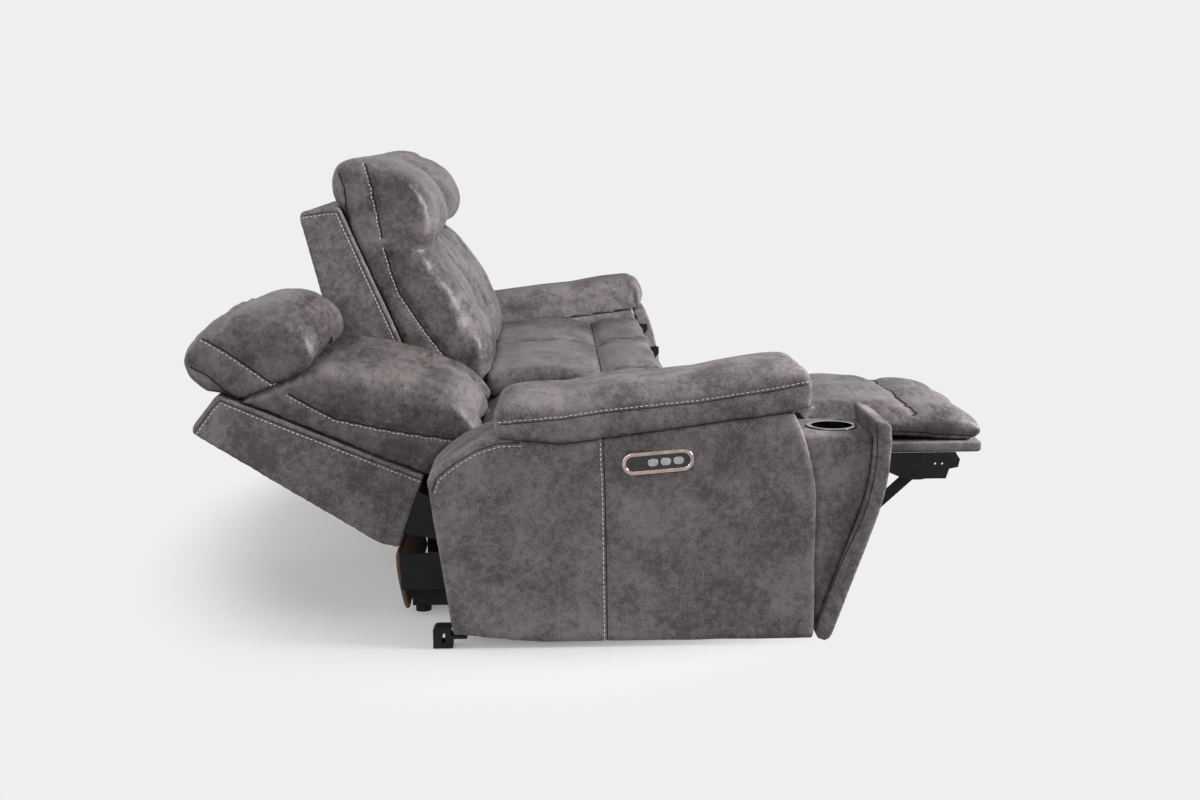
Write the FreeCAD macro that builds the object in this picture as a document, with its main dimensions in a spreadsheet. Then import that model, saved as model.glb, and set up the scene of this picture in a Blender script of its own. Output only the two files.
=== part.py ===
import FreeCAD, Part
import math
import os

import Sketcher

# A three-seat power recliner sofa, 2.21 m wide. The sitter's right seat stands fully reclined,
# the centre and the left seats upright. X runs along the sofa, the front looks to -Y, Z is up.
# The origin is on the floor, below the middle of the closed sofa.

doc = FreeCAD.newDocument("reclining_sofa")
sheet = doc.addObject("Spreadsheet::Sheet", "Sizes")

# Driving dimensions in millimetres and degrees. "forward" is a distance in front of the back's
# hinge line, "height" is a distance above the floor.
SIZES = {
    "seat_width": 570,
    "arm_width": 250,
    "slide_travel": 240,
    "recline_angle": 44,
    "footrest_swing": 90,
    "console_tilt": 20,
    "back_hinge_depth": 155,
    "back_hinge_height": 150,
    "side_gap": 3,
    "arm_panel_inset": 8,
    "arm_board": 16,
    "arm_rear": 177,
    "arm_shoulder": 225,
    "arm_shoulder_height": 365,
    "arm_top_rear": 80,
    "arm_top_rear_height": 454,
    "arm_top_dip": 60,
    "arm_top_dip_height": 440,
    "arm_front": 592,
    "arm_front_height": 503,
    "arm_front_bend": 300,
    "arm_front_radius": 440,
    "arm_clearance": 12,
    "arm_rear_clearance": 30,
    "arm_cavity_depth": 212,
    "arm_cavity_floor": 14,
    "arm_cavity_roof": 22,
    "arm_bay_front": 364,
    "pad_tip": 578,
    "pad_tip_height": 552,
    "pad_front_side": 74,
    "pad_rear_side": 52,
    "pad_crown": 42,
    "switch_centre": 258,
    "switch_height": 401,
    "switch_length": 152,
    "switch_width": 48,
    "switch_tilt": 4.5,
    "bezel_border": 9,
    "bezel_thick": 6,
    "plate_thick": 3,
    "button_length": 22,
    "button_width": 16,
    "button_pitch": 27,
    "button_first": 11,
    "button_gap": 0.4,
    "button_proud": 2.5,
    "button_travel": 1.5,
    "round_button": 5,
    "round_button_place": 31,
    "console_hinge": 580,
    "console_hinge_height": 30,
    "console_axle": 6,
    "axle_play": 0.05,
    "axle_cover": 8,
    "console_gap": 3,
    "console_top": 420,
    "console_depth": 177,
    "fin_gap": 2,
    "fin_thick": 38,
    "fin_top": 473,
    "fin_side_inset": 5,
    "cup_bore": 44.5,
    "cup_wall": 1.2,
    "cup_depth": 74,
    "cup_flange": 10,
    "cup_flange_thick": 2.5,
    "cup_fit": 0.3,
    "cup_place": 62,
    "deck_height": 372,
    "deck_thick": 30,
    "deck_tail": 130,
    "deck_front": 480,
    "deck_inset": 22,
    "deck_flange": 6,
    "seat_rear": 108,
    "tail_radius": 285,
    "tail_gap": 7,
    "seat_crown": 484,
    "seat_side_height": 462,
    "seat_groove": 410,
    "seat_groove_height": 458,
    "seat_front": 572,
    "seat_nose_height": 459,
    "roll_crown": 481,
    "seat_gap": 2,
    "seat_side_drop": 16,
    "plate_steel": 5,
    "link_play": 1,
    "link_width": 24,
    "pivot_pin": 6,
    "footrest_hinge": 582,
    "footrest_hinge_height": 446,
    "footrest_length": 427,
    "footrest_board_start": 130,
    "footrest_board_drop": 60,
    "footrest_board_thick": 24,
    "pad_underside": 60,
    "pad_rear_lift": 12,
    "pad_top": 22,
    "pad_inset": 17,
    "seat_step": 520,
    "footrest_seam": 276,
    "footrest_side_drop": 34,
    "link_pin_forward": 271,
    "link_pin_drop": 130,
    "coupler_run": 110,
    "coupler_drop": 100,
    "open_pivot_play": 0.8,
    "spring_wire": 1.1,
    "spring_radius": 4.5,
    "spring_pitch": 3.2,
    "spring_peg": 2,
    "arm_boss_radius": 18,
    "shell_top_rear": 357,
    "shell_top_rear_height": 884,
    "shell_top_front": 253,
    "shell_top_front_height": 900,
    "shell_foot_front": 60,
    "shell_foot_front_height": 450,
    "shell_foot_rear": 241,
    "shell_foot_rear_height": 410,
    "shell_foot_low": 216,
    "shell_foot_low_height": 371,
    "head_top_height": 1014,
    "head_bulge": 32,
    "lumbar_bulge": 104,
    "head_pivot_back": 70,
    "head_pivot_height": 812,
    "head_gap": 2,
    "head_pin": 5,
    "head_leaf_width": 18,
    "head_leaf_place": 150,
    "head_leaf_play": 1.2,
    "apron_back": 306,
    "apron_thick": 12,
    "apron_top": 150,
    "apron_foot": 15,
    "rail_inset": 40,
    "rail_width": 25,
    "rail_foot": 14,
    "rail_height": 40,
    "rail_rear": 200,
    "rail_front": 330,
    "foot_radius": 18,
    "tube_width": 28,
}

for row, (name, value) in enumerate(SIZES.items(), start=1):
    sheet.set("A%d" % row, name)
    sheet.set("B%d" % row, str(value))
    sheet.setAlias("B%d" % row, name)
doc.recompute()


class Length:
    """A size: its value, and the sheet expression that gives it."""

    def __init__(self, value, text):
        self.value = float(value)
        self.text = text

    @staticmethod
    def of(item):
        return item if isinstance(item, Length) else Length(item, "%.6g" % item)

    def __add__(self, other):
        other = Length.of(other)
        return Length(self.value + other.value, "(%s + %s)" % (self.text, other.text))

    def __sub__(self, other):
        other = Length.of(other)
        return Length(self.value - other.value, "(%s - %s)" % (self.text, other.text))

    def __mul__(self, other):
        other = Length.of(other)
        return Length(self.value * other.value, "(%s * %s)" % (self.text, other.text))

    def __truediv__(self, other):
        other = Length.of(other)
        return Length(self.value / other.value, "(%s / %s)" % (self.text, other.text))

    def __neg__(self):
        return Length(-self.value, "(-1 * %s)" % self.text)

    __radd__ = __add__
    __rmul__ = __mul__

    def __rsub__(self, other):
        return Length.of(other) - self


def size(name):
    """The named size from the sheet."""
    return Length(float(sheet.get(name)), "Sizes." + name)


def circle_drop(radius, height):
    """How far a circle of this radius falls back over a height from its foremost point."""
    value = radius.value - math.sqrt(radius.value ** 2 - height.value ** 2)
    text = "(%s - sqrt(%s * %s - %s * %s))" % (
        radius.text, radius.text, radius.text, height.text, height.text)
    return Length(value, text)


def arc_sag(radius, run, rise):
    """The height of an arc of this radius over a chord with this run and rise."""
    chord = run.value ** 2 + rise.value ** 2
    value = radius.value - math.sqrt(radius.value ** 2 - chord / 4)
    text = "(%s - sqrt(%s * %s - (%s * %s + %s * %s) / 4))" % (
        radius.text, radius.text, radius.text, run.text, run.text, rise.text, rise.text)
    return Length(value, text)


class Frame:
    """A place for a group of pieces: sketch x points to the rear, sketch y points up."""

    def __init__(self, depth, height, lean=0.0):
        self.depth = Length.of(depth)
        self.height = Length.of(height)
        self.lean = lean

    def placement(self, across):
        base = FreeCAD.Vector(across.value, self.depth.value, self.height.value)
        return FreeCAD.Placement(base, FreeCAD.Rotation(FreeCAD.Vector(1, 0, 0), self.lean))


def body_plane(body, role):
    return [item for item in body.Origin.OriginFeatures if item.Role == role][0]


def add_sketch(body, role, name, lift=None):
    sketch = body.newObject("Sketcher::SketchObject", name)
    sketch.AttachmentSupport = [(body_plane(body, role), "")]
    sketch.MapMode = "FlatFace"
    if lift is not None:
        sketch.AttachmentOffset = FreeCAD.Placement(FreeCAD.Vector(0, 0, lift.value), FreeCAD.Rotation())
        sketch.setExpression(".AttachmentOffset.Base.z", lift.text)
    return sketch


def pin_point(sketch, geometry, vertex, point):
    """Fix a sketch point at its two sizes from the sketch's origin."""
    for kind, item in (("DistanceX", point[0]), ("DistanceY", point[1])):
        index = sketch.addConstraint(Sketcher.Constraint(kind, -1, 1, geometry, vertex, item.value))
        if "Sizes." in item.text:
            sketch.setExpression("Constraints[%d]" % index, item.text)


def winding(points):
    """1 for an outline drawn anticlockwise, -1 for a clockwise one."""
    area = sum(a[0] * b[1] - b[0] * a[1] for a, b in zip(points, points[1:] + points[:1]))
    return 1 if area > 0 else -1


def draw_outline(sketch, outline):
    """A closed outline. Each item is (x, y), or (x, y, sag) for an arc that leads there.

    A positive sag bulges out of the outline, a negative one into it.
    """
    points = [(Length.of(item[0]), Length.of(item[1])) for item in outline]
    outward = winding([(x.value, y.value) for x, y in points])
    ends = []
    for number, item in enumerate(outline):
        start = points[number - 1]
        stop = points[number]
        first = FreeCAD.Vector(start[0].value, start[1].value, 0)
        last = FreeCAD.Vector(stop[0].value, stop[1].value, 0)
        if len(item) == 2:
            index = sketch.addGeometry(Part.LineSegment(first, last), False)
            ends.append((index, 1, 2))
            continue
        sag = Length.of(item[2])
        chord = last - first
        side = FreeCAD.Vector(chord.y, -chord.x, 0).normalize() * outward
        middle = (first + last) * 0.5 + side * sag.value
        index = sketch.addGeometry(Part.Arc(first, middle, last), False)
        straight = (sketch.getPoint(index, 1) - first).Length < (sketch.getPoint(index, 2) - first).Length
        ends.append((index, 1, 2) if straight else (index, 2, 1))
        run = stop[0] - start[0]
        rise = stop[1] - start[1]
        reach = sag if sag.value > 0 else -sag
        radius = (run * run + rise * rise) / (reach * 8) + reach / 2
        datum = sketch.addConstraint(Sketcher.Constraint("Radius", index, radius.value))
        if "Sizes." in radius.text:
            sketch.setExpression("Constraints[%d]" % datum, radius.text)
    for number, (index, vertex_in, vertex_out) in enumerate(ends):
        pin_point(sketch, index, vertex_out, points[number])
        after = ends[(number + 1) % len(ends)]
        sketch.addConstraint(Sketcher.Constraint("Coincident", index, vertex_out, after[0], after[1]))


def draw_circle(sketch, centre, radius):
    place = (Length.of(centre[0]), Length.of(centre[1]))
    radius = Length.of(radius)
    spot = FreeCAD.Vector(place[0].value, place[1].value, 0)
    index = sketch.addGeometry(Part.Circle(spot, FreeCAD.Vector(0, 0, 1), radius.value), False)
    datum = sketch.addConstraint(Sketcher.Constraint("Radius", index, radius.value))
    sketch.setExpression("Constraints[%d]" % datum, radius.text)
    pin_point(sketch, index, 3, place)


def fillet_edges(body, feature, radius, places):
    """Round the edges that run along X next to the given sketch places."""
    doc.recompute()
    names = []
    for spot in places:
        wanted = (Length.of(spot[0]).value, Length.of(spot[1]).value)
        best = None
        for number, edge in enumerate(feature.Shape.Edges, start=1):
            first = edge.Vertexes[0].Point
            last = edge.Vertexes[-1].Point
            if abs(first.y - last.y) > 0.01 or abs(first.z - last.z) > 0.01:
                continue
            reach = math.hypot(first.y - wanted[0], first.z - wanted[1])
            if best is None or reach < best[0]:
                best = (reach, "Edge%d" % number)
        names.append(best[1])
    rounding = body.newObject("PartDesign::Fillet", "Rounding")
    rounding.Base = (feature, names)
    rounding.Radius = Length.of(radius).value
    if "Sizes." in Length.of(radius).text:
        rounding.setExpression("Radius", Length.of(radius).text)
    return rounding


def slab(label, frame, outline, low, high, holes=(), rounded=(), radius=0):
    """A plate or block: an outline in the side view, padded along X from low to high."""
    body = doc.addObject("PartDesign::Body", label)
    body.Label = label
    sketch = add_sketch(body, "YZ_Plane", "Outline")
    draw_outline(sketch, outline)
    for centre_x, centre_y, hole in holes:
        draw_circle(sketch, (centre_x, centre_y), hole)
    pad = body.newObject("PartDesign::Pad", "Thickness")
    pad.Profile = sketch
    span = Length.of(high) - Length.of(low)
    pad.Length = span.value
    pad.setExpression("Length", span.text)
    tip = pad
    if rounded:
        tip = fillet_edges(body, pad, radius, rounded)
    body.Tip = tip
    body.Placement = frame.placement(Length.of(low))
    return body


def pocket(body, outline, start, depth, circle=None):
    """Cut an outline of the side view, or a circle, into a body from one X plane for a depth."""
    doc.recompute()
    before = body.Shape.Volume
    sketch = add_sketch(body, "YZ_Plane", "Opening", Length.of(start))
    if circle is None:
        draw_outline(sketch, outline)
    else:
        draw_circle(sketch, circle[:2], circle[2])
    cut = body.newObject("PartDesign::Pocket", "Cut")
    cut.Profile = sketch
    cut.Type = "Length"
    cut.Length = Length.of(depth).value
    cut.setExpression("Length", Length.of(depth).text)
    cut.Reversed = True
    body.Tip = cut
    doc.recompute()
    if body.Shape.Volume > before - 1:
        raise ValueError("the pocket in %s cuts nothing" % body.Label)


def solid_piece(label, shape, placement=None):
    """A piece whose form needs a loft, a sweep or several solids in one."""
    piece = doc.addObject("Part::Feature", label)
    piece.Label = label
    piece.Shape = shape
    if placement is not None:
        piece.Placement = placement
    return piece


def side_wire(outline, across, scale=1.0, centre=(0.0, 0.0), lift=None):
    """A closed wire in the side view at one X, from the same kind of outline."""
    spots = []
    for item in outline:
        x = Length.of(item[0]).value
        y = Length.of(item[1]).value
        x = centre[0] + (x - centre[0]) * scale
        y = centre[1] + (y - centre[1]) * scale
        if lift is not None:
            y += lift(x, y)
        spots.append(FreeCAD.Vector(across, x, y))
    edges = []
    outward = winding([(spot.y, spot.z) for spot in spots])
    for number, item in enumerate(outline):
        first = spots[number - 1]
        last = spots[number]
        if len(item) == 2:
            edges.append(Part.makeLine(first, last))
            continue
        chord = last - first
        side = FreeCAD.Vector(0, chord.z, -chord.y).normalize() * outward
        middle = (first + last) * 0.5 + side * Length.of(item[2]).value * scale
        edges.append(Part.Arc(first, middle, last).toShape())
    return Part.Wire(edges)


# A cushion's width is cut at these shares. The side panels draw in towards the ends.
CUSHION_STATIONS = ((0.0, 0.955), (0.03, 0.985), (0.12, 0.997), (0.5, 1.0), (0.88, 0.997), (0.97, 0.985),
                    (1.0, 0.955))


def cushion(outline, low, high, stations=CUSHION_STATIONS):
    """A stuffed form: a side view that swells between its drawn-in side panels."""
    low = Length.of(low).value
    high = Length.of(high).value
    xs = [Length.of(item[0]).value for item in outline]
    ys = [Length.of(item[1]).value for item in outline]
    centre = ((min(xs) + max(xs)) / 2, (min(ys) + max(ys)) / 2)
    wires = [side_wire(outline, low + (high - low) * share, scale, centre) for share, scale in stations]
    return Part.makeLoft(wires, True, False)


half_width = size("seat_width") * 1.5 + size("arm_width")
closed_depth = size("back_hinge_depth")
open_depth = size("back_hinge_depth") - size("slide_travel")
side_gap = size("side_gap")


def seat_edges(seat):
    """The two X planes of a seat: -1 the sitter's right, 0 the centre, 1 the left."""
    middle = size("seat_width") * seat
    return middle - size("seat_width") / 2, middle + size("seat_width") / 2


def ordered(one, two):
    return (one, two) if one.value < two.value else (two, one)


# The arm: a board box under the padded top. Its front is open for the tilting console.
arm_top_outline = (
    (-size("arm_front") + circle_drop(size("arm_front_radius"),
                                      size("arm_front_height") - size("arm_front_bend")),
     size("arm_front_height")),
    (-size("arm_top_dip"), size("arm_top_dip_height")),
    (size("arm_top_rear"), size("arm_top_rear_height")),
)


def make_arm(prefix, side, frame):
    outer = half_width * side
    inner = (half_width - size("arm_width")) * side
    face = outer - size("arm_panel_inset") * side
    low, high = ordered(face, inner)
    front = -size("arm_front")
    bend = size("arm_front_bend")
    rise = size("arm_front_height") - bend
    sag = arc_sag(size("arm_front_radius"), circle_drop(size("arm_front_radius"), rise), rise)
    outline = [
        (front, size("arm_clearance")),
        (front, bend),
        (arm_top_outline[0][0], arm_top_outline[0][1], sag),
        arm_top_outline[1],
        arm_top_outline[2],
        (size("arm_shoulder"), size("arm_shoulder_height"), 14),
        (size("arm_rear"), size("arm_rear_clearance")),
        (Length.of(0), size("arm_clearance")),
    ]
    pivot = (-size("console_hinge"), size("console_hinge_height"), size("console_axle") + size("axle_play"))
    arm = slab(prefix + "_arm_frame", frame, outline, low, high)
    cavity_rear = front + size("arm_cavity_depth")
    reach = front - 60
    roof = size("arm_front_height") - size("arm_cavity_roof")
    cavity = [
        (reach, size("arm_cavity_floor") - 60),
        (reach, roof),
        (arm_top_outline[0][0], roof),
        (cavity_rear, size("arm_top_dip_height") + 8),
        (cavity_rear, size("console_top") - 90),
        (front + 40, size("arm_cavity_floor")),
        (front + 40, size("arm_cavity_floor") - 60),
    ]
    board = size("arm_board")
    pocket(arm, cavity, board, high - low - board * 2)
    cover = size("axle_cover")
    pocket(arm, None, cover, high - low - cover * 2, circle=pivot)
    bay_front = -size("arm_bay_front")
    bay = [
        (bay_front, Length.of(-20)),
        (bay_front, size("arm_top_dip_height") + 18),
        (-size("arm_top_dip"), size("arm_top_dip_height") - board),
        (size("arm_top_rear") - 4, size("arm_top_rear_height") - board),
        (size("arm_shoulder") - 20, size("arm_shoulder_height") - 12),
        (size("arm_rear") - 22, Length.of(0)),
        (size("arm_rear") - 26, Length.of(-20)),
    ]
    pocket(arm, bay, board, high - low - board * 2)
    make_arm_pad(prefix, ordered(outer, inner), frame)
    make_arm_foot(prefix, face, side, frame)


def make_arm_pad(prefix, edges, frame):
    """The padded top follows the arm's top edge and swells to a crown along its middle."""
    low, high = edges
    front_low = arm_top_outline[0]
    dip = arm_top_outline[1]
    rear = arm_top_outline[2]
    tip = -size("pad_tip")
    front_side = size("pad_front_side")
    rear_side = size("pad_rear_side")
    outline = [
        (front_low[0], front_low[1]),
        (tip + 4, size("arm_front_height") + 8),
        (tip, size("pad_tip_height")),
        (tip + 22, size("arm_front_height") + front_side, 6),
        (tip + 230, size("arm_front_height") + front_side - 28, 4),
        (-size("arm_top_dip"), size("arm_top_dip_height") + rear_side + 24, 2),
        (size("arm_top_rear") - 12, size("arm_top_rear_height") + rear_side, 3),
        (size("arm_top_rear"), size("arm_top_rear_height") + rear_side / 2, 5),
        (rear[0], rear[1]),
        (dip[0], dip[1]),
    ]
    base_height = size("arm_top_dip_height").value + 30
    swell_span = size("pad_crown").value
    stations = ((0.0, 0.0), (0.06, 0.45), (0.2, 0.83), (0.5, 1.0), (0.8, 0.83), (0.94, 0.45), (1.0, 0.0))
    wires = []
    for share, crown in stations:
        def lift(x, y, crown=crown):
            slope = (size("arm_top_dip").value - x) * 0.11
            over = y - base_height - max(slope, 0.0)
            return crown * swell_span * 0.55 if over > 0 else 0.0
        across = low.value + (high.value - low.value) * share
        wires.append(side_wire(outline, across, lift=lift))
    solid_piece(prefix + "_arm_pad", Part.makeLoft(wires, True, False), frame.placement(Length.of(0)))


def make_arm_foot(prefix, face, side, frame):
    """A pressed steel foot with an upright slot, under the arm's rear corner."""
    inner = face - 40 * side
    low, high = ordered(face - 4 * side, inner)
    rear = size("arm_rear")
    top = size("arm_rear_clearance")
    outline = [
        (rear, Length.of(2)),
        (rear + 42, Length.of(2)),
        (rear + 42, top + 12),
        (rear + 36, top + 18),
        (rear + 4, top + 18),
        (rear + 4, top),
        (rear - 30, top - 4),
        (rear - 30, top - 8),
        (rear, top - 8),
    ]
    foot = slab(prefix + "_arm_foot", frame, outline, low, high)
    slot = [
        (rear + 16, Length.of(14)),
        (rear + 24, Length.of(14)),
        (rear + 24, Length.of(34)),
        (rear + 16, Length.of(34)),
    ]
    pocket(foot, slot, Length.of(-1), high - low + 2)


# The switch in the arm's outer panel: a bezel ring, a dark plate, a round button and three ovals.
def stadium(length, width, radius_gap=0.0):
    """A flat wire with round ends, centred on the origin in the X-Y plane."""
    radius = width / 2 - radius_gap
    straight = length / 2 - width / 2
    top = Part.makeLine(FreeCAD.Vector(-straight, radius, 0), FreeCAD.Vector(straight, radius, 0))
    right = Part.Arc(FreeCAD.Vector(straight, radius, 0), FreeCAD.Vector(straight + radius, 0, 0),
                     FreeCAD.Vector(straight, -radius, 0)).toShape()
    base = Part.makeLine(FreeCAD.Vector(straight, -radius, 0), FreeCAD.Vector(-straight, -radius, 0))
    left = Part.Arc(FreeCAD.Vector(-straight, -radius, 0), FreeCAD.Vector(-straight - radius, 0, 0),
                    FreeCAD.Vector(-straight, radius, 0)).toShape()
    return Part.Wire([top, right, base, left])


def raised(wire, low, high):
    """A wire of the switch's own plane, made a block from one height to another."""
    block = Part.Face(wire).extrude(FreeCAD.Vector(0, 0, high - low))
    block.translate(FreeCAD.Vector(0, 0, low))
    return block


def round_wire(radius, x):
    centre = FreeCAD.Vector(x, 0, 0)
    return Part.Wire([Part.makeCircle(radius, centre)])


def oval_wire(x):
    wire = stadium(size("button_length").value, size("button_width").value)
    wire.translate(FreeCAD.Vector(x, 0, 0))
    return wire


def make_switch(prefix, side, frame):
    """Built flat with x to the front of the sofa and z out of the arm, then stood on the arm."""
    length = size("switch_length").value
    width = size("switch_width").value
    border = size("bezel_border").value
    thick = size("plate_thick").value
    gap = size("button_gap").value
    outer = stadium(length, width)
    window = stadium(length - 2 * border, width - 2 * border)
    bezel = raised(outer, 0, size("bezel_thick").value).cut(raised(window, -1, 20))
    rim = [edge for edge in bezel.Edges if abs(edge.BoundBox.ZMin - size("bezel_thick").value) < 0.01
           and abs(edge.BoundBox.ZMax - size("bezel_thick").value) < 0.01]
    bezel = bezel.makeFillet(border * 0.3, rim)
    plate = raised(stadium(length - 2 * border - 0.2, width - 2 * border - 0.2), 0, thick)
    ovals = [size("button_first").value * -1 + size("button_pitch").value * step for step in range(3)]
    key_round = -size("round_button_place").value
    port = -size("round_button_place").value - 24
    plate = plate.cut(raised(round_wire(size("round_button").value + gap, key_round), -1, 20))
    port_wire = stadium(12.0, 6.5)
    port_wire.rotate(FreeCAD.Vector(0, 0, 0), FreeCAD.Vector(0, 0, 1), 90)
    port_wire.translate(FreeCAD.Vector(port, 0, 0))
    plate = plate.cut(raised(port_wire, 1.0, 20))
    keys = []
    for x in ovals:
        hole = stadium(size("button_length").value + 2 * gap, size("button_width").value + 2 * gap)
        hole.translate(FreeCAD.Vector(x, 0, 0))
        plate = plate.cut(raised(hole, -1, 20))
        keys.append(oval_wire(x))
    keys.insert(0, round_wire(size("round_button").value, key_round))
    face = (half_width - size("arm_panel_inset")).value * side
    turn = FreeCAD.Rotation(FreeCAD.Vector(0, -1, 0), FreeCAD.Vector(0, 0, 1),
                            FreeCAD.Vector(side, 0, 0), "ZXY")
    tilt = FreeCAD.Rotation(FreeCAD.Vector(1, 0, 0), -size("switch_tilt").value)
    spot = FreeCAD.Vector(face, frame.depth.value - size("switch_centre").value,
                          size("switch_height").value)
    place = FreeCAD.Placement(spot, tilt * turn)
    solid_piece(prefix + "_switch_bezel", bezel, place)
    solid_piece(prefix + "_switch_plate", plate, place)
    names = ("power_button", "open_button", "close_button", "headrest_button")
    proud = thick + size("button_proud").value
    for name, wire in zip(names, keys):
        key = raised(wire, size("button_travel").value + 0.1, proud)
        crest = [edge for edge in key.Edges if abs(edge.BoundBox.ZMin - proud) < 0.01]
        solid_piece(prefix + "_" + name, key.makeFillet(0.8, crest), place)


# The console: a wedge box with a cup holder behind an upholstered front, hinged at the floor.
def console_fin_outline():
    rear = -(size("arm_front") + size("fin_gap") - size("console_hinge"))
    bend = size("arm_front_bend") - size("console_hinge_height")
    top = size("fin_top")
    inner_radius = size("arm_front_radius") + size("fin_gap")
    outer_radius = inner_radius + size("fin_thick")
    inner_rise = top - 6 - bend
    outer_rise = top - 10 - bend
    inner_drop = circle_drop(inner_radius, inner_rise)
    outer_drop = circle_drop(outer_radius, outer_rise)
    front = rear - size("fin_thick")
    return [
        (rear, Length.of(34)),
        (rear, bend),
        (rear + inner_drop, top - 6, -arc_sag(inner_radius, inner_drop, inner_rise)),
        (rear + inner_drop - 6, top, 2),
        (front + outer_drop + 10, top),
        (front + outer_drop, top - 10, 3),
        (front, bend, arc_sag(outer_radius, outer_drop, outer_rise)),
        (front, Length.of(8)),
        (front + 10, Length.of(-12), 3),
        (rear - 10, Length.of(-12)),
    ]


def make_console(prefix, side, frame):
    low, high = ordered((half_width - size("arm_panel_inset")) * side,
                        (half_width - size("arm_width")) * side)
    inset = size("fin_side_inset")
    slab(prefix + "_console_front", frame, console_fin_outline(), low + inset, high - inset)
    tilt = math.radians(size("console_tilt").value)

    def closed(forward, height):
        """A place given for the tipped-out console, turned back to the shut one."""
        return (-(forward * math.cos(tilt) - height * math.sin(tilt)),
                forward * math.sin(tilt) + height * math.cos(tilt))

    top = size("console_top").value
    fin_rear = -(size("arm_front") + size("fin_gap") - size("console_hinge")).value
    bend = (size("arm_front_bend") - size("console_hinge_height")).value
    radius = size("arm_front_radius") + size("fin_gap")
    front_top = closed(129.0, top)
    edge_rise = Length.of(front_top[1] - bend)
    edge_drop = circle_drop(radius, edge_rise)
    rear_top = closed(129.0 - size("console_depth").value, top)
    outline = [
        (fin_rear, 30.0),
        (fin_rear, bend),
        (fin_rear + edge_drop, front_top[1], arc_sag(radius, edge_drop, edge_rise)),
        rear_top,
        (12.0, 30.0),
        (10.0, -8.0),
        (-8.0, -10.0),
    ]
    box_gap = size("arm_board") + size("console_gap")
    box_low = (low + box_gap).value
    box_high = (high - box_gap).value
    block = Part.Face(side_wire(outline, box_low)).extrude(FreeCAD.Vector(box_high - box_low, 0, 0))
    axle_low = low + size("axle_cover") + 0.5
    axle_span = (high - low - size("axle_cover") * 2 - 1).value
    axle = Part.makeCylinder(size("console_axle").value, axle_span, FreeCAD.Vector(axle_low.value, 0, 0),
                             FreeCAD.Vector(1, 0, 0))
    cup_spot = closed(size("cup_place").value, top)
    up = FreeCAD.Vector(0, math.sin(tilt), math.cos(tilt))
    centre = FreeCAD.Vector((box_low + box_high) / 2, cup_spot[0], cup_spot[1])
    outer = size("cup_bore").value + size("cup_wall").value
    depth = size("cup_depth").value
    well = Part.makeCylinder(outer + size("cup_fit").value, depth + 2, centre - up * (depth + 1), up)
    block = block.fuse(axle).cut(well).removeSplitter()
    cup = Part.makeCylinder(outer, depth, centre - up * depth, up)
    flange = Part.makeCylinder(outer + size("cup_flange").value - size("cup_wall").value,
                               size("cup_flange_thick").value, centre, up)
    bore = Part.makeCylinder(size("cup_bore").value, depth + 10,
                             centre - up * (depth - size("cup_wall").value), up)
    cup = cup.fuse(flange)
    rim = [edge for edge in cup.Edges if edge.Closed and edge.Length > 6.2 * outer
           and (edge.CenterOfMass - centre).dot(up) > size("cup_flange_thick").value - 0.01]
    cup = cup.makeFillet(1.2, rim).cut(bore)
    place = frame.placement(Length.of(0))
    solid_piece(prefix + "_console_box", block, place)
    solid_piece(prefix + "_cup_holder", cup, place)


# The seat: a deck on the steel side plates, and a cushion with a crown, a groove and a front roll.
def seat_cushion_outline():
    deck = size("deck_height") + size("deck_thick")
    step = -size("seat_step")
    nose = size("seat_nose_height")
    return [
        (step, deck),
        (step, nose),
        (-size("seat_front") + 4, nose),
        (-size("seat_front"), nose + 6, 2),
        (-size("seat_front") + 52, size("roll_crown"), 8),
        (-size("seat_groove") - 6, size("seat_groove_height") + 4, 9),
        (-size("seat_groove") + 6, size("seat_groove_height") + 4, -3),
        (-size("seat_groove") + 130, size("seat_crown"), 7),
        (-size("seat_rear") - 24, size("seat_side_height") + 14, 2),
        (-size("seat_rear"), size("seat_side_height") - 2, 6),
        (-size("seat_rear"), deck),
    ]


SEAT_STATIONS = ((0.0, 0.0), (0.025, 0.35), (0.1, 0.75), (0.5, 1.0), (0.9, 0.75), (0.975, 0.35), (1.0, 0.0))


def crowned(outline, low, high, base, crest, drop, stations=SEAT_STATIONS):
    """A pad lying on a flat base: its top falls by a drop from its middle to both side panels."""
    wires = []
    for share, crown in stations:
        def lift(x, y, crown=crown):
            level = min(max((y - base) / (crest - base), 0.0), 1.0)
            return -(1.0 - crown) * drop * level
        wires.append(side_wire(outline, low + (high - low) * share, lift=lift))
    return Part.makeLoft(wires, True, False)


def seat_cushion_shape(seat):
    left, right = seat_edges(seat)
    base = size("seat_nose_height").value
    return crowned(seat_cushion_outline(), (left + size("seat_gap")).value, (right - size("seat_gap")).value,
                   base, size("seat_crown").value, size("seat_side_drop").value)


def make_seat(prefix, seat, frame):
    left, right = seat_edges(seat)
    deck_low = size("deck_height")
    outline = [
        (-size("deck_front"), deck_low),
        (-size("deck_front"), deck_low + size("deck_thick")),
        (size("deck_tail"), deck_low + size("deck_thick")),
        (size("deck_tail"), deck_low),
    ]
    inset = size("deck_inset")
    slab(prefix + "_seat_deck", frame, outline, left + inset, right - inset)
    shape = Part.makeCompound([seat_cushion_shape(seat), seat_tail_shape(left + inset, right - inset)])
    solid_piece(prefix + "_seat_cushion", shape, frame.placement(Length.of(0)))


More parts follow.
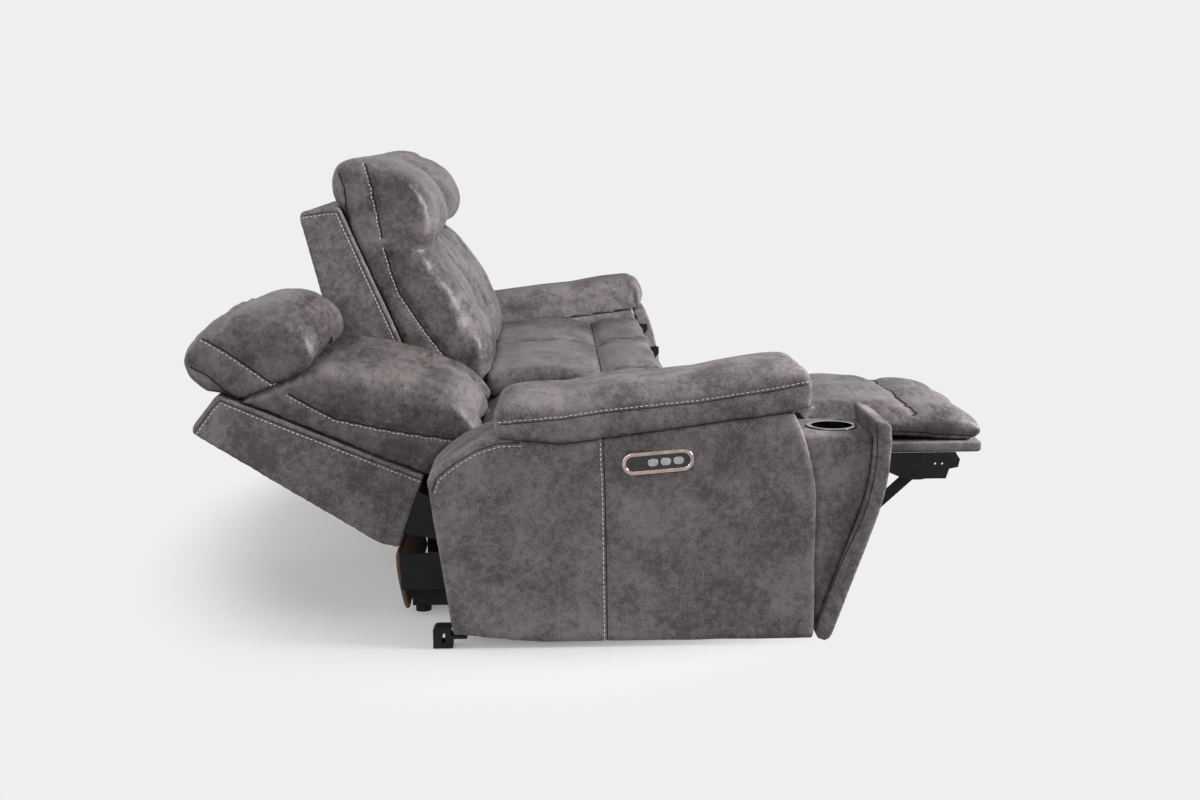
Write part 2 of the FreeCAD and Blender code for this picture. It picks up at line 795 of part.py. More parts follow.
def seat_tail_shape(low, high):
    """The padded tail behind the seat, hollowed so that the back's foot rolls over it."""
    deck = (size("deck_height") + size("deck_thick")).value
    pivot = size("back_hinge_height").value
    radius = size("tail_radius").value
    front = -size("seat_rear").value
    rear = size("deck_tail").value

    def on_roll(x):
        return pivot + math.sqrt(radius ** 2 - x ** 2)

    crest = on_roll(0.0)
    sag = crest - (on_roll(front) + on_roll(rear)) / 2
    outline = [
        (front, deck),
        (front, on_roll(front)),
        (rear, on_roll(rear), sag),
        (rear, deck),
    ]
    return Part.Face(side_wire(outline, low.value)).extrude(FreeCAD.Vector((high - low).value, 0, 0))


# The mechanism planes, as distances in from a seat's edge.
def plane_out(step):
    """The outer X distance of a mechanism layer: 0 the side plate, 1 the links, 2 the couplers."""
    return side_gap + (size("plate_steel") + size("link_play")) * step


def paired(seat, step, make):
    """The same plate at both sides of a seat, as separate solids in one shape."""
    left, right = seat_edges(seat)
    thick = size("plate_steel")
    near = make((left + plane_out(step)).value, thick.value)
    far = make((right - plane_out(step) - thick).value, thick.value)
    return Part.makeCompound([near, far])


def plate_shape(outline, low, thick, holes=()):
    block = Part.Face(side_wire(outline, low)).extrude(FreeCAD.Vector(thick, 0, 0))
    for x, y, radius in holes:
        drill = Part.makeCylinder(radius, thick + 2, FreeCAD.Vector(low - 1, x, y), FreeCAD.Vector(1, 0, 0))
        block = block.cut(drill)
    return block


def link_shape(start, stop, width, low, thick, holes=()):
    """A flat bar with round ends between two pivots."""
    a = FreeCAD.Vector(low, start[0], start[1])
    b = FreeCAD.Vector(low, stop[0], stop[1])
    along = (b - a).normalize()
    side = FreeCAD.Vector(0, -along.z, along.y) * (width / 2)
    cap = along * (width / 2)
    edges = [
        Part.makeLine(a + side, b + side),
        Part.Arc(b + side, b + cap, b - side).toShape(),
        Part.makeLine(b - side, a - side),
        Part.Arc(a - side, a - cap, a + side).toShape(),
    ]
    bar = Part.Face(Part.Wire(edges)).extrude(FreeCAD.Vector(thick, 0, 0))
    for x, y, radius in holes:
        drill = Part.makeCylinder(radius, thick + 2, FreeCAD.Vector(low - 1, x, y), FreeCAD.Vector(1, 0, 0))
        bar = bar.cut(drill)
    return bar


hinge_forward = size("footrest_hinge").value
hinge_height = size("footrest_hinge_height").value
link_root = (-(hinge_forward - size("coupler_run").value), hinge_height - size("coupler_drop").value)


def stud(low, high, place, radius):
    return Part.makeCylinder(radius, high - low, FreeCAD.Vector(low, place[0], place[1]),
                             FreeCAD.Vector(1, 0, 0))


def make_side_plates(prefix, seat, frame):
    """Two steel plates carry the deck and, on two bosses, the arm beside them.

    Riveted studs are the pivots of the back, the links and the footrest.
    """
    left, right = seat_edges(seat)
    thick = size("plate_steel").value
    play = size("link_play").value
    pin = size("pivot_pin").value
    apron = size("apron_back").value
    deck = size("deck_height").value
    pivot = size("back_hinge_height").value
    outline = [
        (apron, 62.0),
        (apron, size("apron_top").value - 10),
        (30.0, pivot + 20),
        (-16.0, pivot + 60),
        (-20.0, deck),
        (-size("deck_front").value - 10, deck),
        (-528.0, 404.0),
        (-530.0, hinge_height + 2),
        (-hinge_forward + 12, hinge_height + 11),
        (-hinge_forward - 11, hinge_height + 11),
        (-hinge_forward - 12, hinge_height - 10),
        (-545.0, 380.0),
        (-500.0, 318.0),
        (-440.0, 300.0),
        (-300.0, 110.0),
        (-250.0, 62.0),
    ]
    solids = []
    for inward, edge in ((1, left), (-1, right)):
        outer = edge.value + inward * plane_out(0).value
        low = min(outer, outer + inward * thick)
        plate = plate_shape(outline, low, thick)
        runner_end = edge.value + inward * (size("rail_inset") + size("rail_width")).value
        rail_top = (size("rail_foot") + size("rail_height")).value
        low_x, high_x = sorted((outer, runner_end))
        runner = Part.makeBox(high_x - low_x, 290.0, 6.0, FreeCAD.Vector(low_x, -230.0, rail_top + 0.4))
        web = Part.makeBox(thick, 290.0, 14.0, FreeCAD.Vector(low, -230.0, rail_top + 0.4))
        flange_end = edge.value + inward * (size("deck_inset").value + 18)
        low_x, high_x = sorted((outer, flange_end))
        flange = Part.makeBox(high_x - low_x, size("deck_front").value - 20, size("deck_flange").value,
                              FreeCAD.Vector(low_x, -size("deck_front").value,
                                             deck - size("deck_flange").value))
        plate = plate.fuse([runner, web, flange])
        reach = outer + inward * (2 * thick + play)
        for place in ((0.0, pivot), link_root, (-hinge_forward, hinge_height)):
            start, stop = sorted((outer + inward * thick, reach))
            plate = plate.fuse(stud(start, stop, place, pin))
        if inward == -seat:
            start, stop = sorted((edge.value, outer))
            for place in ((-100.0, 250.0), (-330.0, 300.0)):
                plate = plate.fuse(stud(start, stop, place, size("arm_boss_radius").value))
        solids.append(plate.removeSplitter())
    solid_piece(prefix + "_side_plates", Part.makeCompound(solids), frame.placement(Length.of(0)))


def make_motor(prefix, seat, frame):
    """The drive under the deck: a motor housing, its gear case and the screw rail."""
    left, right = seat_edges(seat)
    middle = ((left + right) / 2).value
    deck = size("deck_height").value
    rail = Part.makeCylinder(11.0, 330.0, FreeCAD.Vector(middle, -100.0, deck - 60), FreeCAD.Vector(0, -1, 0))
    motor = Part.makeCylinder(28.0, 150.0, FreeCAD.Vector(middle, -75.0, deck - 36), FreeCAD.Vector(0, 0, -1))
    case = Part.makeBox(76.0, 70.0, 84.0, FreeCAD.Vector(middle - 38, -120.0, deck - 96))
    hanger = Part.makeBox(30.0, 24.0, 60.0, FreeCAD.Vector(middle - 15, -425.0, deck - 60))
    lug = Part.makeBox(40.0, 40.0, 12.0, FreeCAD.Vector(middle - 20, -100.0, deck - 12))
    shape = case.makeFillet(8.0, [edge for edge in case.Edges if abs(edge.Length - 84.0) < 0.01])
    for item in (rail, motor, hanger, lug):
        shape = shape.fuse(item)
    solid_piece(prefix + "_recline_motor", shape.removeSplitter(), frame.placement(Length.of(0)))


# The footrest: a padded board on two steel brackets that swing about the front edge of the seat.
def make_footrest(prefix, seat, frame):
    left, right = seat_edges(seat)
    start = size("footrest_board_start")
    length = size("footrest_length")
    drop = size("footrest_board_drop")
    thick = size("footrest_board_thick")
    board_inset = plane_out(1) - 0.5
    board = [
        (-length + 3, -drop),
        (-start, -drop),
        (-start, -drop - thick),
        (-length + 6, -drop - thick),
        (-length - 1 + 4, -drop - thick + 6),
    ]
    slab(prefix + "_footrest_board", frame, board, left + board_inset, right - board_inset)
    pad = footrest_pad_shape((left + size("pad_inset")).value, (right - size("pad_inset")).value)
    solid_piece(prefix + "_footrest_pad", pad, frame.placement(Length.of(0)))
    play = size("axle_play").value
    pin = size("pivot_pin").value
    under = -(drop + thick).value
    pin_x = -size("link_pin_forward").value
    pin_y = -size("link_pin_drop").value
    bracket = [
        (13.0, 3.0),
        (8.0, -13.0),
        (-30.0, -46.0),
        (-60.0, -72.0),
        (-90.0, -91.0),
        (-128.0, -104.0),
        (-200.0, -122.0),
        (pin_x + 16, pin_y - 16),
        (pin_x - 16, pin_y - 16),
        (-300.0, -144.0),
        (-345.0, -144.0),
        (-352.0, -122.0),
        (-372.0, -118.0),
        (-376.0, -100.0),
        (-366.0, under),
        (-start.value, under),
        (-start.value, under + 22),
        (-84.0, -50.0),
        (-16.0, 2.0),
        (-8.0, 12.0),
        (6.0, 12.0),
    ]
    holes = [
        (0.0, 0.0, pin + play),
        (pin_x, pin_y, pin + size("open_pivot_play").value),
        (-320.0, -110.0, 2.6),
        (-336.0, -110.0, 2.6),
    ]
    plates = paired(seat, 1, lambda low, span: plate_shape(bracket, low, span, holes)).Solids
    face = (left + plane_out(1)).value + size("plate_steel").value
    coil = make_footrest_spring(prefix, face, frame)
    peg = size("spring_peg").value
    for spot in coil:
        plates[0] = plates[0].fuse(stud(face, face + 2 * size("spring_radius").value, spot, peg))
    solid_piece(prefix + "_footrest_brackets", Part.makeCompound(plates), frame.placement(Length.of(0)))


def footrest_pad_shape(low, high):
    """The leg pad: a long panel, a cross seam, and a roll that wraps the board's front edge."""
    drop = size("footrest_side_drop").value
    under = -size("pad_underside").value
    top = size("pad_top").value
    seam = -size("footrest_seam").value
    end = -size("footrest_length").value
    rear = under + size("pad_rear_lift").value
    outline = [
        (-6.0, rear + 6),
        (-6.0, top - 16),
        (-40.0, top - 4, 3),
        (seam + 8, top - 8, 6),
        (seam - 8, top - 8, -3),
        (end + 20, top - 26, 9),
        (end, under + 24, 6),
        (end + 12, under, 4),
        (end + 72, under),
        (end + 200, rear),
    ]
    return crowned(outline, low, high, under + 20, top, drop)


def make_footrest_spring(prefix, face, frame):
    """The small pull spring on the bracket's inner face, wound as one tube between two pegs.

    Gives the places of the two pegs that hold it.
    """
    wire = size("spring_wire").value
    radius = size("spring_radius").value
    pitch = size("spring_pitch").value
    turns = 6
    start = FreeCAD.Vector(face + radius + wire, -313.0, -134.0)
    edges = []
    for step in range(turns * 4):
        spots = []
        for part in (0.0, 0.5, 1.0):
            turn = (step + part) * math.pi / 2
            spots.append(start + FreeCAD.Vector(radius * math.cos(turn), -pitch * (step + part) / 4,
                                                radius * math.sin(turn)))
        edges.append(Part.Arc(*spots).toShape())
    tangent = edges[0].tangentAt(edges[0].FirstParameter)
    spots = []
    middle = edges[0].Vertexes[0].Point
    side = tangent.cross(FreeCAD.Vector(0, 1, 0)).normalize()
    rise = tangent.cross(side)
    for corner in range(9):
        turn = corner * math.pi / 4
        spots.append(middle + side * (wire * math.cos(turn)) + rise * (wire * math.sin(turn)))
    coil = Part.Wire(edges).makePipeShell([Part.makePolygon(spots)], True, False)
    print("%s footrest spring: least gap between turns %.2f mm" % (prefix, pitch - 2 * wire))
    solid_piece(prefix + "_footrest_spring", coil, frame.placement(Length.of(0)))
    reach = wire + size("spring_peg").value
    return (start.y + reach, start.z), (start.y - pitch * turns - reach, start.z)


def make_links(prefix, seat, swing_frame, coupler_frame):
    """A swing link and a coupler at each side keep the footrest's brackets square with the seat."""
    left, right = seat_edges(seat)
    width = size("link_width").value
    thick = size("plate_steel").value
    pin = size("pivot_pin").value
    play = size("axle_play").value
    pin_place = (-size("link_pin_forward").value, -size("link_pin_drop").value)
    swing = paired(seat, 1, lambda low, span: link_shape(
        (0.0, 0.0), pin_place, width, low, span, [(0.0, 0.0, pin + play)]))
    solids = list(swing.Solids)
    gap = size("link_play").value
    for inward, edge in ((1, left), (-1, right)):
        inner = edge.value + inward * (plane_out(1).value + thick)
        low, high = sorted((inner, inner + inward * (gap + thick)))
        solids.append(stud(low, high, pin_place, pin))
    tube_low = (left + plane_out(1)).value + thick
    tube_high = (right - plane_out(1)).value - thick
    tube = stud(tube_low, tube_high, (0.0, 0.0), 10.0)
    solids.append(tube)
    solid_piece(prefix + "_swing_links", Part.makeCompound(solids), swing_frame.placement(Length.of(0)))
    run = (-size("coupler_run").value, size("coupler_drop").value)
    coupler = paired(seat, 2, lambda low, span: link_shape(
        (0.0, 0.0), run, width, low, span, [(0.0, 0.0, pin + play)]))
    solids = list(coupler.Solids)
    for inward, edge in ((1, left), (-1, right)):
        inner = edge.value + inward * plane_out(2).value
        low, high = sorted((inner, inner - inward * (gap + thick)))
        solids.append(stud(low, high, run, pin))
    solid_piece(prefix + "_coupler_links", Part.makeCompound(solids), coupler_frame.placement(Length.of(0)))


# The back: a padded shell on two steel brackets, a lumbar cushion and a tilting headrest.
def up(name):
    """A height above the floor, counted from the back's hinge."""
    return size(name) - size("back_hinge_height")


def make_back(prefix, seat, frame, tilting):
    left, right = seat_edges(seat)
    low = left + side_gap
    high = right - side_gap
    shell = [
        (size("shell_foot_rear"), up("shell_foot_rear_height")),
        (size("shell_foot_low"), up("shell_foot_low_height")),
        (size("shell_foot_front"), up("shell_foot_front_height")),
        (size("shell_top_front"), up("shell_top_front_height")),
        (size("shell_top_rear"), up("shell_top_rear_height")),
    ]
    slab(prefix + "_back_shell", frame, shell, low, high,
         rounded=[(item[0], item[1]) for item in shell[3:]], radius=16)
    place = frame.placement(Length.of(0))
    lumbar = cushion(lumbar_outline(), low + 3, high - 3)
    head = cushion(headrest_outline(), low + 3, high - 3)
    if tilting:
        middle = ((left + right) / 2).value
        thick = size("plate_steel").value
        play = size("head_leaf_play").value
        leaves = []
        for across in (middle - size("head_leaf_place").value, middle + size("head_leaf_place").value):
            leaves.append(headrest_leaf(across, thick, 0.0))
            slot = headrest_leaf(across - play, thick + 2 * play, play)
            lumbar = lumbar.cut(slot)
            eye = FreeCAD.Vector(across, *headrest_pivot())
            for turn in (0, -10, -20, -30):
                head = head.cut(slot.copy().rotate(eye, FreeCAD.Vector(1, 0, 0), turn))
            pin = stud(across - 2 * play, across + thick + 2 * play, headrest_pivot(), size("head_pin").value)
            head = head.fuse(pin)
        solid_piece(prefix + "_back_cushion", lumbar, place)
        solid_piece(prefix + "_headrest", head, place)
        bracket = [
            (-14.0, -14.0),
            (-16.0, 8.0),
            shell_foot_at(95.0),
            shell_foot_at(185.0),
            (16.0, -14.0),
        ]
        hole = [(0.0, 0.0, size("pivot_pin").value + size("axle_play").value)]
        plates = paired(seat, 1, lambda start, span: plate_shape(bracket, start, span, hole)).Solids
        solid_piece(prefix + "_back_brackets", Part.makeCompound(plates + leaves), place)
    else:
        solid_piece(prefix + "_back_cushion", Part.makeCompound([lumbar, head]), place)


def headrest_pivot():
    return (size("head_pivot_back").value, up("head_pivot_height").value)


def headrest_leaf(low, thick, grow):
    """A hinge leaf that stands out of the shell and carries the headrest's pin in its eye."""
    front = size("shell_foot_front").value
    foot = up("shell_foot_front_height").value
    slope = (size("shell_top_front").value - front) / (up("shell_top_front_height").value - foot)
    root_height = headrest_pivot()[1] + 42.0
    root = (front + slope * (root_height - foot) + 6.0, root_height)
    eye = [(headrest_pivot()[0], headrest_pivot()[1], size("head_pin").value + size("axle_play").value)]
    width = size("head_leaf_width").value + 2 * grow
    leaf = link_shape(headrest_pivot(), root, width, low, thick, [] if grow else eye)
    shell_side = [
        (front, foot),
        (front + slope * 450.0, foot + 450.0),
        (front + slope * 450.0 + 200.0, foot + 450.0),
        (front + 200.0, foot),
    ]
    return leaf.cut(plate_shape(shell_side, low - 1, thick + 2))


def shell_foot_at(depth):
    """A place on the shell's slanting underside."""
    front = size("shell_foot_front").value
    low = size("shell_foot_low").value
    share = (depth - front) / (low - front)
    top = up("shell_foot_front_height").value
    base = up("shell_foot_low_height").value
    return (depth, top + (base - top) * share)


def lumbar_outline():
    """Side view of the lumbar cushion, from its foot up the shell, over the notch and down the front."""
    front = size("shell_foot_front").value
    top = size("shell_top_front").value
    foot = up("shell_foot_front_height").value
    crest = up("shell_top_front_height").value

    def on_shell(share):
        return (front + (top - front) * share - 0.2, foot + (crest - foot) * share)

    pivot = up("head_pivot_height").value
    back = size("head_pivot_back").value
    bulge = size("lumbar_bulge").value
    lower = on_shell(0.0)
    roll = size("tail_radius").value + size("tail_gap").value

    def on_roll(x):
        return math.sqrt(roll ** 2 - x ** 2)

    roll_sag = (bulge + front) ** 2 / (8 * roll)
    upper = on_shell(0.9)
    return [
        upper,
        (back + 20, pivot - 14),
        (back - 10, pivot - 32, 3),
        (back - 40, pivot - 70, 7),
        (-bulge + 45, pivot - 220, 12),
        (-bulge, pivot - 300, 8),
        (-bulge + 6, on_roll(bulge - 6), 3),
        (front - 1.5, on_roll(front - 1.5), -roll_sag),
        lower,
    ]


def headrest_outline():
    """Side view of the headrest: up the back, over the top and down the front bulge to the notch."""
    pivot = up("head_pivot_height").value
    back = size("head_pivot_back").value
    gap = size("head_gap").value
    rear = size("shell_top_front").value
    crest = up("shell_top_front_height").value
    top = up("head_top_height").value
    bulge = size("head_bulge").value
    return [
        (rear - 19.2, crest - 45 + gap),
        (rear - 0.3, crest + gap),
        (rear + 18, crest + 44, 8),
        (rear - 42, top, 26),
        (rear - 100, top - 22, 12),
        (bulge, pivot + 60, 30),
        (bulge + 8, pivot - 8, 10),
        (back - 14, pivot - 16 + gap, 3),
        (back + 20, pivot - 14 + gap, -2),
    ]


def make_apron(prefix, seat, frame):
    left, right = seat_edges(seat)
    rear = size("apron_back")
    outline = [
        (rear, size("apron_foot")),
        (rear, size("apron_top")),
        (rear + size("apron_thick"), size("apron_top") - 4),
        (rear + size("apron_thick"), size("apron_foot") + 3),
    ]
    low, high = left + side_gap, right - side_gap
    slab(prefix + "_rear_apron", frame, outline, low, high)


# One end unit: arm, seat, back and footrest travel together on the floor rails.
def make_unit(prefix, side, opened):
    seat = side
    depth = open_depth if opened else closed_depth
    unit = Frame(depth, 0)
    make_arm(prefix, side, unit)
    make_switch(prefix, side, unit)
    console = Frame(depth - size("console_hinge"), size("console_hinge_height"),
                    size("console_tilt").value if opened else 0.0)
    make_console(prefix, side, console)
    make_seat(prefix, seat, unit)
    make_side_plates(prefix, seat, unit)
    make_motor(prefix, seat, unit)
    make_apron(prefix, seat, unit)
    swing = 0.0 if opened else size("footrest_swing").value
    make_footrest(prefix, seat, Frame(depth - size("footrest_hinge"), size("footrest_hinge_height"), swing))
    swing_frame = Frame(depth + link_root[0], Length.of(link_root[1]), swing)
    turn = math.radians(swing)
    pin_x = -size("link_pin_forward").value
    pin_y = -size("link_pin_drop").value
    joint = (pin_x * math.cos(turn) - pin_y * math.sin(turn), pin_x * math.sin(turn) + pin_y * math.cos(turn))
    coupler_frame = Frame(depth + link_root[0] + joint[0], Length.of(link_root[1] + joint[1]))
    make_links(prefix, seat, swing_frame, coupler_frame)
    lean = -size("recline_angle").value if opened else 0.0
    make_back(prefix, seat, Frame(depth, size("back_hinge_height"), lean), True)


# The fixed middle: floor rails, cross tubes and feet, and the centre seat.
def make_base():
    solids = []
    foot = size("rail_foot").value
    rise = size("rail_height").value
    rear = size("rail_rear").value
    front = -size("rail_front").value
    width = size("rail_width").value
    tube = size("tube_width").value
    rails = []
    for seat in (-1, 0, 1):
        left, right = seat_edges(seat)
        inset = size("rail_inset").value
        for low in (left.value + inset, right.value - inset - width):
            rails.append(low)
            solids.append(Part.makeBox(width, rear - front, rise, FreeCAD.Vector(low, front, foot)))
            for spot in (front + size("foot_radius").value + 6, rear - size("foot_radius").value - 6):
                solids.append(Part.makeCylinder(size("foot_radius").value, foot,
                                                FreeCAD.Vector(low + width / 2, spot, 0)))
    tube_foot = foot + (rise - tube) / 2
    for first, second in zip(rails[:-1], rails[1:]):
        for spot in (rear - 40.0, 0.0):
            span = second - first - width
            solids.append(Part.makeBox(span, tube, tube,
                                       FreeCAD.Vector(first + width, spot - tube / 2, tube_foot)))
    solids.append(Part.makeCylinder(size("foot_radius").value, tube_foot))
    solid_piece("base_frame", Part.makeCompound(solids))


def back_post_outline():
    """A wedge post on the deck's tail that holds the centre shell by its slanting underside."""
    top = (size("deck_height") + size("deck_thick")).value
    pivot = size("back_hinge_height").value
    rear = size("deck_tail").value
    front = rear - 36
    return [
        (front, top),
        (front, shell_foot_at(front)[1] + pivot),
        (rear, shell_foot_at(rear)[1] + pivot),
        (rear, top),
    ]


def make_centre():
    frame = Frame(closed_depth, 0)
    left, right = seat_edges(0)
    deck = size("deck_height").value
    thick = size("deck_thick").value
    rail_top = (size("rail_foot") + size("rail_height")).value
    inset = size("rail_inset").value
    width = size("rail_width").value
    low = (left + side_gap).value
    high = (right - side_gap).value
    rear = size("deck_tail").value
    front = -size("deck_front").value
    boards = [Part.makeBox(high - low, rear - front, thick, FreeCAD.Vector(low, front, deck))]
    for start in (left.value + inset, right.value - inset - width):
        boards.append(Part.makeBox(width, rear - front - 40, deck - rail_top,
                                   FreeCAD.Vector(start, front + 40, rail_top)))
        boards.append(plate_shape(back_post_outline(), start, width))
    pad_back = (size("footrest_hinge") - size("footrest_board_drop") - size("footrest_board_thick")).value
    pad_head = (size("footrest_hinge_height") - size("footrest_board_start")).value
    cleat_foot = pad_head - 26
    cleat_depth = 40.0
    boards.append(Part.makeBox(high - low, cleat_depth, deck - cleat_foot,
                               FreeCAD.Vector(low, -pad_back, cleat_foot)))
    shape = Part.makeCompound(boards)
    solid_piece("centre_seat_frame", shape, frame.placement(Length.of(0)))
    solid_piece("centre_seat_cushion", seat_cushion_shape(0), frame.placement(Length.of(0)))
    shut = Frame(closed_depth - size("footrest_hinge"), size("footrest_hinge_height"),
                 size("footrest_swing").value)
    pad = footrest_pad_shape((left + size("pad_inset")).value, (right - size("pad_inset")).value)
    board = Part.makeBox((right - left).value - 2 * size("pad_inset").value,
                         (size("footrest_length") - size("footrest_board_start")).value - 3,
                         size("footrest_board_thick").value,
                         FreeCAD.Vector((left + size("pad_inset")).value, -size("footrest_length").value + 3,
                                        -(size("footrest_board_drop") + size("footrest_board_thick")).value))
    solid_piece("centre_front_pad", Part.makeCompound([pad, board]), shut.placement(Length.of(0)))
    make_back("centre", 0, Frame(closed_depth, size("back_hinge_height")), False)


make_base()
make_centre()
make_unit("right", -1, True)
make_unit("left", 1, False)

doc.recompute()
pieces = []
for item in doc.Objects:
    if "Invalid" in item.State or "Error" in item.State:
        raise ValueError("%s did not build: %s" % (item.Label, item.State))
    if item.TypeId in ("PartDesign::Body", "Part::Feature"):
        pieces.append(item)
for piece in pieces:
    if piece.Shape.isNull() or not piece.Shape.isValid():
        raise ValueError("%s has no valid shape" % piece.Label)
os.makedirs("parts", exist_ok=True)
for piece in pieces:
    piece.Shape.exportStep(os.path.join("parts", piece.Label + ".step"))
print("%d pieces written" % len(pieces))
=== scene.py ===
import bmesh
import bpy
import math
import numpy as np
from mathutils import Matrix, Vector, noise
from mathutils.bvhtree import BVHTree
from mathutils.kdtree import KDTree


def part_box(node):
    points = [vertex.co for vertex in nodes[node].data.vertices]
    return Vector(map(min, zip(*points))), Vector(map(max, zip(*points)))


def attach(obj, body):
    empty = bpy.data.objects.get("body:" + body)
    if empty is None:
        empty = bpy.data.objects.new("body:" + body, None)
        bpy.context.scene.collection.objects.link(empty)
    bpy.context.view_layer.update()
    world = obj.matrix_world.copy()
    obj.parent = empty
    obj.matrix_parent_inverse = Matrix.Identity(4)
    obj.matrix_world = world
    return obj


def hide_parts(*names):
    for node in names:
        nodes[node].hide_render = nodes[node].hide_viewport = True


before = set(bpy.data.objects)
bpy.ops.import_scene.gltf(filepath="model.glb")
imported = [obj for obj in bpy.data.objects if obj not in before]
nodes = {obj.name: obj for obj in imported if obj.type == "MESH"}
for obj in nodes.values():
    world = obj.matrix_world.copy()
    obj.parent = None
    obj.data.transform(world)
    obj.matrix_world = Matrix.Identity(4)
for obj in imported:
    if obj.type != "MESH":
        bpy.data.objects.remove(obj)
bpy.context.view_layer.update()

# Studio. A plain pale floor that fades into an even pale ground, a large soft lamp over the front
# of the sofa, weaker ones above, beside the camera and behind, and a camera at the sitter's right.
scene = bpy.context.scene
scene.view_settings.view_transform = "Standard"


def wire(tree, kind, sockets=None, **settings):
    """One node in a tree, its settings made and its input sockets set or linked."""
    node = tree.nodes.new(kind)
    for key, value in settings.items():
        setattr(node, key, value)
    for key, value in (sockets or {}).items():
        if isinstance(value, bpy.types.NodeSocket):
            tree.links.new(value, node.inputs[key])
        else:
            node.inputs[key].default_value = value
    return node


def bare_material(name):
    """A material with its output only, and that output's node."""
    material = bpy.data.materials.new(name)
    material.use_nodes = True
    material.node_tree.nodes.clear()
    output = material.node_tree.nodes.new("ShaderNodeOutputMaterial")
    return material, material.node_tree, output


ground_tone = (0.863, 0.863, 0.863, 1.0)
world = bpy.data.worlds.new("Studio")
scene.world = world
world.use_nodes = True
world.node_tree.nodes.clear()
light_path = wire(world.node_tree, "ShaderNodeLightPath")
sharp = wire(world.node_tree, "ShaderNodeMath", {0: light_path.outputs["Is Camera Ray"],
             1: light_path.outputs["Is Glossy Ray"]}, operation="MAXIMUM")
sharp = wire(world.node_tree, "ShaderNodeMath", {0: sharp.outputs[0],
             1: light_path.outputs["Is Transmission Ray"]}, operation="MAXIMUM")
seen = wire(world.node_tree, "ShaderNodeBackground", {"Color": ground_tone, "Strength": 1.0})
cast = wire(world.node_tree, "ShaderNodeBackground", {"Color": (1.0, 1.0, 1.0, 1.0), "Strength": 0.30})
both = wire(world.node_tree, "ShaderNodeMixShader", {0: sharp.outputs[0], 1: cast.outputs[0],
            2: seen.outputs[0]})
out = world.node_tree.nodes.new("ShaderNodeOutputWorld")
world.node_tree.links.new(both.outputs[0], out.inputs["Surface"])

floor_mesh = bpy.data.meshes.new("floor")
floor_mesh.from_pydata([(-3.5, -3.5, 0), (3.5, -3.5, 0), (3.5, 3.5, 0), (-3.5, 3.5, 0)], [], [(0, 1, 2, 3)])
floor = bpy.data.objects.new("floor", floor_mesh)
scene.collection.objects.link(floor)
paper, tree, out = bare_material("studio_floor")
place = wire(tree, "ShaderNodeTexCoord")
spread = wire(tree, "ShaderNodeMapping", {"Vector": place.outputs["Object"],
              "Scale": (0.74, 1.2, 1.0)})
far = wire(tree, "ShaderNodeVectorMath", {0: spread.outputs[0]}, operation="LENGTH")
fade = wire(tree, "ShaderNodeMapRange", {"Value": far.outputs["Value"], "From Min": 0.72,
            "From Max": 1.18, "To Min": 0.25}, interpolation_type="SMOOTHSTEP")
matt = wire(tree, "ShaderNodeBsdfDiffuse", {"Color": (0.58, 0.58, 0.58, 1.0)})
clear = wire(tree, "ShaderNodeBsdfTransparent")
surface = wire(tree, "ShaderNodeMixShader", {0: fade.outputs[0], 1: matt.outputs[0], 2: clear.outputs[0]})
tree.links.new(surface.outputs[0], out.inputs["Surface"])
floor.data.materials.append(paper)


def soft_lamp(name, spot, target, width, height, power):
    """A rectangular lamp that looks at a target."""
    light = bpy.data.lights.new(name, "AREA")
    light.shape = "RECTANGLE"
    light.size = width
    light.size_y = height
    light.energy = power
    lamp = bpy.data.objects.new(name, light)
    lamp.matrix_world = (Matrix.Translation(spot) @ (Vector(target) - Vector(spot)).to_track_quat("-Z", "Y")
                         .to_matrix().to_4x4())
    scene.collection.objects.link(lamp)


soft_lamp("front_lamp", (-1.0, -3.7, 2.1), (0.0, 0.1, 0.6), 2.2, 1.1, 380.0)
soft_lamp("top_lamp", (-0.4, 0.6, 3.6), (0.0, 0.0, 0.3), 3.0, 3.0, 36.0)
soft_lamp("side_lamp", (-4.6, 1.6, 2.0), (-0.6, -0.1, 0.4), 2.6, 1.8, 74.0)
soft_lamp("rear_lamp", (-0.8, 3.8, 2.2), (0.0, 0.2, 0.6), 3.0, 1.8, 85.0)

camera = bpy.data.objects.new("Camera", bpy.data.cameras.new("Camera"))
camera.data.sensor_width = 36.0
camera.data.lens = 48.17
yaw = math.radians(1.761)
pitch = math.radians(9.547)
roll = math.radians(-0.349)
ahead = Vector((math.cos(yaw) * math.cos(pitch), -math.sin(yaw) * math.cos(pitch), -math.sin(pitch)))
across = Vector((-math.sin(yaw), -math.cos(yaw), 0.0))
axes = Matrix((across, across.cross(ahead), -ahead)).transposed()
camera.matrix_world = Matrix.Translation((-4.372, -0.122, 1.084)) @ axes.to_4x4() @ Matrix.Rotation(
    roll, 4, "Z")
scene.collection.objects.link(camera)
scene.camera = camera


